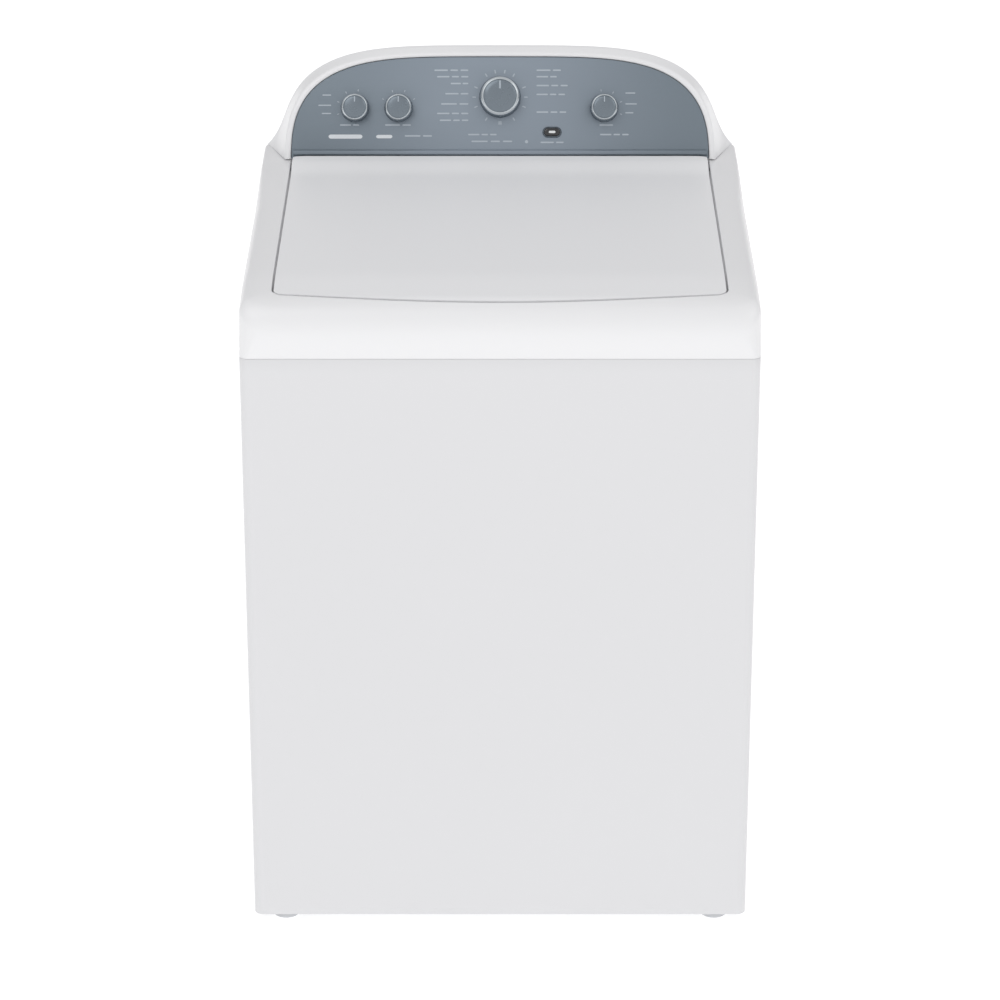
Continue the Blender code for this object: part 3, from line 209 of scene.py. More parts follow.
def loft(rings, closed=False):
    """Faces between successive rings of points. A ring of one point closes to a pole."""
    bm = bmesh.new()
    rows = [[bm.verts.new(point) for point in ring] for ring in rings]
    pairs = list(zip(rows, rows[1:]))
    if closed:
        pairs.append((rows[-1], rows[0]))
    for low, high in pairs:
        count = max(len(low), len(high))
        for index in range(count):
            after = (index + 1) % count
            if len(low) == 1:
                bm.faces.new((low[0], high[after], high[index]))
            elif len(high) == 1:
                bm.faces.new((low[index], low[after], high[0]))
            else:
                bm.faces.new((low[index], low[after], high[after], high[index]))
    if not closed:
        for row in (rows[0], rows[-1]):
            if len(row) > 2:
                bm.faces.new(row)
    bmesh.ops.recalc_face_normals(bm, faces=bm.faces)
    return bm


def rounded_profile(profile, radius, steps=3):
    """Round the corners of a closed (radius, height) profile, or of an open one between its ends."""
    closed = profile[0][0] != 0
    count = len(profile)
    out = []
    for index, point in enumerate(profile):
        if not closed and index in (0, count - 1):
            out.append(point)
            continue
        here = Vector(point)
        before, after = Vector(profile[index - 1]), Vector(profile[(index + 1) % count])
        back, ahead = before - here, after - here
        reach = min(radius, back.length * 0.45, ahead.length * 0.45)
        start, end = here + back.normalized() * reach, here + ahead.normalized() * reach
        for step in range(steps + 1):
            share = step / steps
            spot = start * (1 - share) ** 2 + here * 2 * share * (1 - share) + end * share ** 2
            out.append((spot.x, spot.y))
    return out


def turned(profile, steps=96, centre=(0.0, 0.0), radius=0.0):
    """A turned solid from (radius, height) points, with its corners rounded."""
    if radius:
        profile = rounded_profile(profile, radius)
    turn = 2 * math.pi / steps
    rings = []
    for reach, height in profile:
        if reach == 0:
            rings.append([(centre[0], centre[1], height)])
            continue
        rings.append([(centre[0] + reach * math.cos(turn * step), centre[1] + reach * math.sin(turn * step),
                       height) for step in range(steps)])
    return loft(rings, closed=profile[0][0] != 0)


def prism(outline, low, high, edge=0.0, axis="Z"):
    """An outline extruded along an axis, with softened end edges."""
    def place(point, level):
        first, second = point
        return {"X": (level, first, second), "Y": (first, level, second), "Z": (first, second, level)}[axis]
    bm = loft([[place(point, low) for point in outline], [place(point, high) for point in outline]])
    if edge:
        bmesh.ops.bevel(bm, geom=list(bm.edges), offset=edge, segments=2, affect="EDGES",
                        clamp_overlap=True)
    return bm


def block(low, high, edge=0.0):
    corners = [(low[0], low[1]), (high[0], low[1]), (high[0], high[1]), (low[0], high[1])]
    return prism(corners, low[2], high[2], edge)


def bar(start, end, radius, steps=24, edge=0.0):
    """A round bar between two points, with softened ends."""
    start, end = Vector(start), Vector(end)
    length = (end - start).length
    profile = [(0, 0), (radius, 0), (radius, length), (0, length)]
    bm = turned(profile, steps, radius=edge)
    spin = Vector((0, 0, 1)).rotation_difference(end - start).to_matrix().to_4x4()
    return moved(bm, Matrix.Translation(start) @ spin)


def tube_along(points, radius, sides=16):
    """A round tube along points, whose radius may be a number or a function of the share of its way."""
    rings = []
    normal = Vector((0.0, 0.0, 1.0))
    for index, point in enumerate(points):
        ahead = points[min(index + 1, len(points) - 1)] - points[max(index - 1, 0)]
        ahead.normalize()
        normal = normal - ahead * normal.dot(ahead)
        if normal.length < 1e-4:
            normal = ahead.orthogonal()
        normal.normalize()
        other = ahead.cross(normal)
        reach = radius(index / (len(points) - 1)) if callable(radius) else radius
        rings.append([point + (normal * math.cos(2 * math.pi * side / sides)
                               + other * math.sin(2 * math.pi * side / sides)) * reach
                      for side in range(sides)])
    return loft(rings)


def smooth_route(route, per_span):
    """Points along a Catmull-Rom curve through the route's own points."""
    route = [Vector(point) for point in route]
    padded = [2 * route[0] - route[1]] + route + [2 * route[-1] - route[-2]]
    points = []
    for before, start, end, after in zip(padded, padded[1:], padded[2:], padded[3:]):
        for step in range(per_span):
            share = step / per_span
            points.append(0.5 * (2 * start + (end - before) * share
                                 + (2 * before - 5 * start + 4 * end - after) * share ** 2
                                 + (3 * start - before - 3 * end + after) * share ** 3))
    points.append(route[-1])
    return points


def slab(top, bottom):
    """A closed sheet between two grids of points with the same rows and columns."""
    bm = bmesh.new()
    upper = [[bm.verts.new(point) for point in row] for row in top]
    lower = [[bm.verts.new(point) for point in row] for row in bottom]
    rows, columns = len(top), len(top[0])
    for grid in (upper, lower):
        for row in range(rows - 1):
            for column in range(columns - 1):
                bm.faces.new((grid[row][column], grid[row][column + 1],
                              grid[row + 1][column + 1], grid[row + 1][column]))
    rim = [(0, column) for column in range(columns)]
    rim += [(row, columns - 1) for row in range(1, rows)]
    rim += [(rows - 1, column) for column in range(columns - 2, -1, -1)]
    rim += [(row, 0) for row in range(rows - 2, 0, -1)]
    for (row, column), (next_row, next_column) in zip(rim, rim[1:] + rim[:1]):
        bm.faces.new((upper[row][column], upper[next_row][next_column],
                      lower[next_row][next_column], lower[row][column]))
    return bm


def smooth_step(value):
    value = min(max(value, 0.0), 1.0)
    return value * value * (3 - 2 * value)


def rounded_outline(x_half, front, rear, corner, bow=0.0, corner_steps=12, side_steps=28, rear_corner=None):
    """A rounded rectangle seen from above, anticlockwise from its front right, with a bowed front."""
    back = corner if rear_corner is None else rear_corner
    centres = [(x_half - corner, front + corner, -90, corner), (x_half - back, rear - back, 0, back),
               (-x_half + back, rear - back, 90, back), (-x_half + corner, front + corner, 180, corner)]
    points = []
    for number, (x, y, start, radius) in enumerate(centres):
        for step in range(corner_steps + 1):
            angle = math.radians(start + 90 * step / corner_steps)
            points.append((x + radius * math.cos(angle), y + radius * math.sin(angle)))
        after_x, after_y, after_start, after_radius = centres[(number + 1) % 4]
        first = points[-1]
        angle = math.radians(after_start)
        last = (after_x + after_radius * math.cos(angle), after_y + after_radius * math.sin(angle))
        for step in range(1, side_steps):
            share = step / side_steps
            points.append((first[0] + (last[0] - first[0]) * share,
                           first[1] + (last[1] - first[1]) * share))
    middle = (front + rear) / 2
    shaped = []
    for x, y in points:
        if y < middle:
            nearness = smooth_step((middle - y) / (middle - front) * 4 - 3)
            y -= bow * (1 - (x / x_half) ** 2) * nearness
        shaped.append((x, y))
    return shaped


def pill(half_long, half_high, steps=12):
    """An outline with straight sides and half-round ends."""
    points = []
    for centre, start in ((half_long - half_high, -90), (-half_long + half_high, 90)):
        for step in range(steps + 1):
            angle = math.radians(start + 180 * step / steps)
            points.append((centre + half_high * math.cos(angle), half_high * math.sin(angle)))
    return points


def soften(node, width, look, segments=2, angle=35):
    """Keep a CAD node: weld its corners, round its edges and dress it."""
    kept = frame["nodes"][node]
    weld = kept.modifiers.new("weld", "WELD")
    weld.merge_threshold = 0.00005
    if width:
        bevel = kept.modifiers.new("edges", "BEVEL")
        bevel.width = width
        bevel.segments = segments
        bevel.limit_method = "ANGLE"
        bevel.angle_limit = math.radians(angle)
        bevel.harden_normals = False
    kept.data.materials.clear()
    kept.data.materials.append(look)


# ---------------------------------------------------------------- materials


def shader_for(name, colour, roughness, metallic=0.0, coat=0.0):
    """A Principled material with its constant values on the shader's own sockets."""
    made = bpy.data.materials.new(name)
    made.use_nodes = True
    shader = made.node_tree.nodes["Principled BSDF"]
    shader.inputs["Base Color"].default_value = (*colour, 1.0)
    shader.inputs["Roughness"].default_value = roughness
    shader.inputs["Metallic"].default_value = metallic
    shader.inputs["Coat Weight"].default_value = coat
    shader.inputs["Coat Roughness"].default_value = 0.08
    return made, made.node_tree, shader


def coordinates(tree, scale=(1.0, 1.0, 1.0)):
    """Object coordinates in metres, stretched where a finish has a direction."""
    source = tree.nodes.new("ShaderNodeTexCoord")
    mapping = tree.nodes.new("ShaderNodeMapping")
    mapping.inputs["Scale"].default_value = scale
    tree.links.new(source.outputs["Object"], mapping.inputs["Vector"])
    return mapping.outputs["Vector"]


def noise(tree, vector, scale, detail=2.0):
    made = tree.nodes.new("ShaderNodeTexNoise")
    made.inputs["Scale"].default_value = scale
    made.inputs["Detail"].default_value = detail
    tree.links.new(vector, made.inputs["Vector"])
    return made.outputs["Fac"]


def spread(tree, factor, low, high):
    """Turn a 0 to 1 factor into a range of values."""
    made = tree.nodes.new("ShaderNodeMapRange")
    made.inputs["From Min"].default_value = 0.3
    made.inputs["From Max"].default_value = 0.7
    made.inputs["To Min"].default_value = low
    made.inputs["To Max"].default_value = high
    tree.links.new(factor, made.inputs["Value"])
    return made.outputs["Result"]


def two_tones(tree, factor, first, second):
    made = tree.nodes.new("ShaderNodeMix")
    made.data_type = "RGBA"
    made.inputs["A"].default_value = (*first, 1.0)
    made.inputs["B"].default_value = (*second, 1.0)
    tree.links.new(factor, made.inputs["Factor"])
    return made.outputs["Result"]


def bumped(tree, shader, height, strength, distance):
    made = tree.nodes.new("ShaderNodeBump")
    made.inputs["Strength"].default_value = strength
    made.inputs["Distance"].default_value = distance
    tree.links.new(height, made.inputs["Height"])
    tree.links.new(made.outputs["Normal"], shader.inputs["Normal"])


def scaled(colour, amount):
    return tuple(min(1.0, channel * amount) for channel in colour)


def surface(name, colour, roughness, metallic=0.0, coat=0.0, tint=0.02, tint_scale=5.0,
            rough_spread=0.04, rough_scale=60.0, bump=0.15, bump_scale=700.0, depth=0.0002,
            stretch=(1.0, 1.0, 1.0)):
    """A finish with slow colour drift, uneven gloss and a fine texture."""
    made, tree, shader = shader_for(name, colour, roughness, metallic, coat)
    vector = coordinates(tree, stretch)
    drift = noise(tree, vector, tint_scale)
    tone = two_tones(tree, spread(tree, drift, 0.0, 1.0), scaled(colour, 1 - tint),
                     scaled(colour, 1 + tint))
    tree.links.new(tone, shader.inputs["Base Color"])
    gloss = spread(tree, noise(tree, vector, rough_scale, 3.0), roughness - rough_spread,
                   roughness + rough_spread)
    tree.links.new(gloss, shader.inputs["Roughness"])
    bumped(tree, shader, noise(tree, vector, bump_scale, 2.0), bump, depth)
    return made


def galvanised(name):
    """Zinc sheet: spangles of slightly different tone and gloss, and faint rolling lines."""
    made, tree, shader = shader_for(name, (0.62, 0.63, 0.65), 0.42, 0.9)
    vector = coordinates(tree)
    cells = tree.nodes.new("ShaderNodeTexVoronoi")
    cells.inputs["Scale"].default_value = 110.0
    tree.links.new(vector, cells.inputs["Vector"])
    split = tree.nodes.new("ShaderNodeSeparateColor")
    tree.links.new(cells.outputs["Color"], split.inputs["Color"])
    tone = two_tones(tree, split.outputs["Red"], (0.50, 0.51, 0.53), (0.58, 0.59, 0.61))
    tree.links.new(tone, shader.inputs["Base Color"])
    tree.links.new(spread(tree, split.outputs["Green"], 0.34, 0.50), shader.inputs["Roughness"])
    bumped(tree, shader, noise(tree, vector, 300.0, 3.0), 0.12, 0.0002)
    return made


def brushed(name, colour, roughness, stretch, metallic=1.0):
    """Metal with fine lines along one direction."""
    return surface(name, colour, roughness, metallic, 0.0, tint=0.05, tint_scale=40.0, rough_spread=0.08,
                   rough_scale=90.0, bump=0.25, bump_scale=260.0, depth=0.0001, stretch=stretch)


def panel_finish():
    """The console's satin blue-grey with a painted sheen that lightens it towards the middle, and a fine sideways
    brush.
    """
    made, tree, shader = shader_for("panel_satin", (0.23, 0.27, 0.32), 0.36, 0.35)
    vector = coordinates(tree)
    place = tree.nodes.new("ShaderNodeSeparateXYZ")
    tree.links.new(vector, place.inputs["Vector"])
    distance = tree.nodes.new("ShaderNodeMath")
    distance.operation = "ABSOLUTE"
    tree.links.new(place.outputs["X"], distance.inputs[0])
    centre = tree.nodes.new("ShaderNodeMapRange")
    centre.interpolation_type = "SMOOTHSTEP"
    centre.inputs["From Min"].default_value = 0.02
    centre.inputs["From Max"].default_value = PANEL_X
    tree.links.new(distance.outputs["Value"], centre.inputs["Value"])
    # Painted sheen: the colour lightens from the panel's sides to its middle.
    tone = two_tones(tree, centre.outputs["Result"], PANEL_CENTRE_SHEEN, PANEL_EDGE_TONE)
    tree.links.new(tone, shader.inputs["Base Color"])
    brushed_vector = coordinates(tree, (1.0, 30.0, 30.0))
    lines = noise(tree, brushed_vector, 30.0, 3.0)
    tree.links.new(spread(tree, lines, 0.30, 0.42), shader.inputs["Roughness"])
    bumped(tree, shader, lines, 0.06, 0.0001)
    return made


# Painted sheen: the panel's colour in its middle and at its sides.
PANEL_CENTRE_SHEEN = (0.262, 0.306, 0.358)
PANEL_EDGE_TONE = (0.176, 0.213, 0.248)


def make_looks():
    """Every finish, by name."""
    # The cabinet's enamel is a darker copy of the lid's and deck's white: painted shade that tones down its
    # brightly lit front and sides.
    white = (0.712, 0.712, 0.725)
    return {
        "enamel": surface("white_enamel", white, 0.30, coat=0.15, tint=0.004, tint_scale=2.0,
                          rough_spread=0.012, rough_scale=700.0, bump=0.05, bump_scale=1500.0,
                          depth=0.0001),
        "lid": surface("lid_enamel", (0.835, 0.837, 0.850), 0.42, tint=0.004, tint_scale=2.0,
                       rough_spread=0.012, rough_scale=700.0, bump=0.05, bump_scale=1500.0, depth=0.0001),
        "gloss": surface("white_gloss_plastic", (0.825, 0.825, 0.836), 0.32, coat=0.10, tint=0.004,
                         tint_scale=2.0, rough_spread=0.012, rough_scale=700.0, bump=0.05,
                         bump_scale=1500.0, depth=0.0001),
        "white": surface("white_plastic", (0.76, 0.76, 0.77), 0.42, tint=0.012, bump=0.15,
                         bump_scale=900.0),
        "tub": surface("tub_plastic", (0.62, 0.63, 0.64), 0.50, tint=0.03, bump=0.25, bump_scale=500.0),
        "grey": surface("grey_plastic", (0.22, 0.23, 0.25), 0.48, tint=0.05, bump=0.25, bump_scale=900.0),
        "foot": surface("foot_plastic", (0.60, 0.61, 0.63), 0.50, tint=0.04, bump=0.2, bump_scale=900.0),
        "dark": surface("dark_plastic", (0.045, 0.047, 0.05), 0.45, tint=0.08, bump=0.25, bump_scale=900.0),
        "knob": surface("knob_plastic", (0.185, 0.218, 0.250), 0.26, metallic=0.6, tint=0.03,
                        bump=0.06, bump_scale=900.0),
        "rim": surface("knob_rim", (0.54, 0.58, 0.61), 0.20, metallic=1.0, tint=0.02, rough_spread=0.03,
                       bump=0.03),
        "button": surface("black_gloss", (0.012, 0.012, 0.014), 0.12, coat=0.5, tint=0.1, bump=0.03),
        "print": surface("pale_print", (0.43, 0.48, 0.53), 0.45, tint=0.04, bump=0.05),
        "mark": surface("white_print", (0.70, 0.73, 0.76), 0.45, tint=0.03, bump=0.05),
        "lamp": surface("light_window", (0.78, 0.80, 0.80), 0.20, coat=0.4, tint=0.02, bump=0.02),
        "zinc": galvanised("galvanised_steel"),
        "plated": brushed("plated_steel", (0.60, 0.61, 0.62), 0.30, (1.0, 1.0, 12.0)),
        "spring": surface("spring_steel", (0.20, 0.21, 0.22), 0.38, metallic=1.0, tint=0.08, bump=0.1),
        "stainless": brushed("stainless_steel", (0.66, 0.665, 0.67), 0.24, (1.0, 1.0, 22.0)),
        "cast": surface("cast_aluminium", (0.50, 0.50, 0.51), 0.50, metallic=0.9, tint=0.06,
                        tint_scale=30.0, bump=0.45, bump_scale=420.0, depth=0.0004),
        "iron": surface("motor_paint", (0.09, 0.095, 0.10), 0.42, tint=0.08, tint_scale=30.0, bump=0.3,
                        bump_scale=500.0),
        "copper": brushed("copper_windings", (0.62, 0.28, 0.13), 0.32, (1.0, 1.0, 40.0)),
        "rubber": surface("black_rubber", (0.02, 0.02, 0.021), 0.75, tint=0.15, bump=0.35,
                          bump_scale=800.0),
        "hose": surface("hose_plastic", (0.30, 0.31, 0.32), 0.50, tint=0.05, bump=0.2, bump_scale=600.0),
        "board": surface("circuit_board", (0.03, 0.16, 0.07), 0.45, coat=0.3, tint=0.12, tint_scale=220.0,
                         bump=0.25, bump_scale=350.0),
        "brass": surface("brass_thread", (0.62, 0.46, 0.20), 0.30, metallic=1.0, tint=0.05, bump=0.1),
        "panel": panel_finish(),
    }


# ---------------------------------------------------------------- camera, light and floor


def stage():
    """A white floor, a pale sky that is brightest in front of the machine, and two soft lamps."""
    scene = bpy.context.scene
    scene.view_settings.view_transform = "Standard"
    camera_data = bpy.data.cameras.new("camera")
    camera = bpy.data.objects.new("camera", camera_data)
    scene.collection.objects.link(camera)
    camera.location = (0.0, FRONT_Y - CAMERA_BACK, CAMERA_HEIGHT)
    camera.rotation_euler = (math.radians(90 - CAMERA_PITCH), 0.0, 0.0)
    camera_data.lens = CAMERA_LENS
    camera_data.sensor_width = 36.0
    camera_data.clip_end = 200.0
    scene.camera = camera

    world = bpy.data.worlds.new("studio")
    scene.world = world
    world.use_nodes = True
    tree = world.node_tree
    background = tree.nodes["Background"]
    direction = tree.nodes.new("ShaderNodeTexCoord")
    parts = tree.nodes.new("ShaderNodeSeparateXYZ")
    tree.links.new(direction.outputs["Generated"], parts.inputs["Vector"])
    sideways = tree.nodes.new("ShaderNodeMath")
    sideways.operation = "ABSOLUTE"
    tree.links.new(parts.outputs["X"], sideways.inputs[0])
    dimmest = None
    for source, start, end, share in ((parts.outputs["Z"], 0.10, 0.95, SKY_DIM_OVERHEAD),
                                      (sideways.outputs["Value"], 0.50, 0.98, SKY_DIM_SIDES),
                                      (parts.outputs["Y"], 0.10, 0.90, SKY_DIM_BEHIND)):
        fade = tree.nodes.new("ShaderNodeMapRange")
        fade.interpolation_type = "SMOOTHSTEP"
        fade.inputs["From Min"].default_value = start
        fade.inputs["From Max"].default_value = end
        fade.inputs["To Max"].default_value = share
        tree.links.new(source, fade.inputs["Value"])
        if dimmest is None:
            dimmest = fade.outputs["Result"]
            continue
        larger = tree.nodes.new("ShaderNodeMath")
        larger.operation = "MAXIMUM"
        tree.links.new(dimmest, larger.inputs[0])
        tree.links.new(fade.outputs["Result"], larger.inputs[1])
        dimmest = larger.outputs["Value"]
    tree.links.new(two_tones(tree, dimmest, SKY_BRIGHT, SKY_DIM), background.inputs["Color"])

    floor_mesh = bpy.data.meshes.new("floor")
    bm = bmesh.new()
    bmesh.ops.create_circle(bm, cap_ends=True, radius=40.0, segments=96)
    bm.to_mesh(floor_mesh)
    bm.free()
    floor = bpy.data.objects.new("floor", floor_mesh)
    scene.collection.objects.link(floor)
    paper, _, shader = shader_for("floor_paper", (FLOOR_SHADE, FLOOR_SHADE, FLOOR_SHADE), 0.9)
    shader.inputs["Specular IOR Level"].default_value = 0.0
    shader.inputs["Emission Color"].default_value = (1.0, 1.0, 1.0, 1.0)
    shader.inputs["Emission Strength"].default_value = FLOOR_GLOW
    floor.data.materials.append(paper)

    for name, place, target, size, power in LAMPS:
        lamp_data = bpy.data.lights.new(name, "AREA")
        lamp_data.shape = "RECTANGLE"
        lamp_data.size, lamp_data.size_y = size
        lamp_data.energy = power
        lamp = bpy.data.objects.new(name, lamp_data)
        lamp.location = place
        lamp.rotation_euler = (Vector(target) - Vector(place)).to_track_quat("-Z", "Y").to_euler()
        scene.collection.objects.link(lamp)


CAMERA_BACK = 4.80
CAMERA_HEIGHT = 2.73
CAMERA_PITCH = 23.4
CAMERA_LENS = 138.7
SKY_BRIGHT = (1.0, 1.0, 1.0)
SKY_DIM = (0.46, 0.46, 0.468)
SKY_DIM_OVERHEAD = 0.50
SKY_DIM_SIDES = 1.0
SKY_DIM_BEHIND = 0.85
FLOOR_SHADE = 0.60
FLOOR_GLOW = 0.72
LAMPS = (
    ("key", (-1.6, -2.0, 4.4), (0.0, 0.0, 0.9), (2.4, 2.4), 20.0),
    ("fill", (2.6, -1.4, 3.6), (0.0, 0.0, 0.9), (2.0, 2.0), 10.0),
)


# ---------------------------------------------------------------- cabinet


def cabinet(looks):
    """Folded sheet round the front and sides, with softened cut edges and a return at the rear."""
    flange, sheet = 0.022, 0.0014
    back = CABINET_HIGH[1]

    def path(inset):
        x, front, rear = HALF_WIDTH - inset, FRONT_Y + inset, back - inset
        radius = CABINET_CORNER - inset
        points = [(-HALF_WIDTH + flange, rear), (-x + 0.002, rear), (-x, rear - 0.002)]
        for centre_x, start in ((-x + radius, 180), (x - radius, 270)):
            for step in range(13):
                angle = math.radians(start + 90 * step / 12)
                points.append((centre_x + radius * math.cos(angle),
                               front + radius + radius * math.sin(angle)))
        return points + [(x, rear - 0.002), (x - 0.002, rear), (HALF_WIDTH - flange, rear)]

    low, high = CABINET_LOW[2], SEAM_Z - 0.0004
    rings = []
    for height, ease in ((low, 0.0005), (low + 0.0004, 0.0001), (low + 0.001, 0.0), (low + 0.02, 0.0),
                         (high - 0.02, 0.0), (high - 0.0006, 0.0), (high, 0.0003)):
        outline = path(ease) + path(sheet - ease)[::-1]
        rings.append([(x, y, height) for x, y in outline])
    # The shell wears the darker enamel copy, painted shade for its brightly lit front and sides.
    shell = finish_mesh("cabinet_shell", loft(rings), looks["enamel"], "cabinet", 30)
    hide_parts("cabinet_wrap")


def base(looks):
    """The channel frame round the bottom, with gussets and a boss at each foot."""
    x_half, front, rear = HALF_WIDTH - 0.0025, FRONT_Y + 0.0025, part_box("base_frame")[1][1]
    low, floor, high, wall, width = 0.0115, 0.0135, 0.0460, 0.0020, 0.0750
    section = [(0, low), (0, high), (wall, high), (wall, floor),
               (width - wall, floor), (width - wall, high), (width, high), (width, low)]
    section = rounded_profile([(inset + 1.0, height) for inset, height in section], 0.0025)
    rings = []
    for inset, height in section:
        inset -= 1.0
        outline = rounded_outline(x_half - inset, front + inset, rear - inset, 0.010, 0.0, 6, 8)
        rings.append([(x, y, height) for x, y in outline])
    made = finish_mesh("base_channel", loft(rings, closed=True), looks["zinc"], "cabinet")
    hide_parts("base_frame")
    bosses = []
    for joint in JOINTS.values():
        if joint["name"].startswith("foot_"):
            low_corner, high_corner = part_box(joint["child"])
            x = (low_corner[0] + high_corner[0]) / 2
            y = (low_corner[1] + high_corner[1]) / 2
            bosses.append(turned([(0.0056, floor), (0.0056, 0.030), (0.011, 0.030), (0.014, floor)],
                                 24, (x, y), 0.0008))
            for side in (-1, 1):
                bosses.append(block((x - 0.030, y + side * 0.018 - 0.0012, floor - 0.0004),
                                    (x + 0.030, y + side * 0.018 + 0.0012, 0.038), 0.0005))
    finish_mesh("foot_bosses", gather(*bosses), looks["zinc"], "cabinet")


def foot_pieces(looks):
    """Levelling feet: a ribbed pad, a hexagon for the spanner and a threaded stem."""
    for place, _, _ in CORNERS:
        name = "foot_" + place
        low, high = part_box(name)
        x, y = (low[0] + high[0]) / 2, (low[1] + high[1]) / 2
        pad = turned([(0, 0), (0.0185, 0), (0.020, 0.002), (0.020, 0.0070), (0.0180, 0.0085), (0, 0.0085)],
                     48, (x, y), 0.0008)
        grips = []
        for step in range(24):
            angle = 2 * math.pi * step / 24
            rib = block((0.0190, -0.0007, 0.0022), (0.0199, 0.0007, 0.0066), 0.0003)
            grips.append(moved(rib, Matrix.Translation((x, y, 0)) @ Matrix.Rotation(angle, 4, "Z")))
        foot = finish_mesh(name + "_pad", gather(pad, *grips), looks["foot"], name)
        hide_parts(name)
        hexagon = turned([(0, 0.0080), (0.0115, 0.0080), (0.0115, 0.0111), (0, 0.0111)], 6, (x, y), 0.0006)
        stem = thread((x, y), 0.0048, 0.0105, 0.0600, 0.00125)
        screw = finish_mesh(name + "_stem", gather(hexagon, stem), looks["plated"], name)


def thread(centre, radius, low, high, pitch):
    """A threaded rod: a turned core whose flanks climb as one helix."""
    steps = 20
    turns = (high - low) / pitch
    count = int(turns * 2)
    profile = [(0, low)]
    for index in range(count + 1):
        height = low + (high - low) * index / count
        profile.append((radius - (0.0006 if index % 2 else 0.0), height))
    profile.append((0, high))
    bm = turned(profile, steps, centre)
    for vert in bm.verts:
        reach = math.hypot(vert.co.x - centre[0], vert.co.y - centre[1])
        inside = low + pitch < vert.co.z < high - pitch
        if reach > radius * 0.5 and inside:
            angle = math.atan2(vert.co.y - centre[1], vert.co.x - centre[0])
            vert.co.z += pitch * angle / (2 * math.pi)
    return bm


# ---------------------------------------------------------------- deck


def front_drop(y):
    """How far the machine's top has sloped down towards its front edge."""
    ahead = FRONT_SLOPE_Y - y
    if ahead <= 0:
        return 0.0
    if ahead < FRONT_SLOPE_BLEND:
        return FRONT_SLOPE * ahead ** 2 / (2 * FRONT_SLOPE_BLEND)
    return FRONT_SLOPE * (ahead - FRONT_SLOPE_BLEND / 2)


def deck_z(y):
    """Height of the deck's skin at a distance back from the front, over the rolled front edge."""
    crest = DECK_Z - front_drop(y)
    back = y - FRONT_Y
    if back >= ROLL_FRONT:
        return crest
    return crest - ROLL_FRONT + math.sqrt(ROLL_FRONT ** 2 - (ROLL_FRONT - back) ** 2)


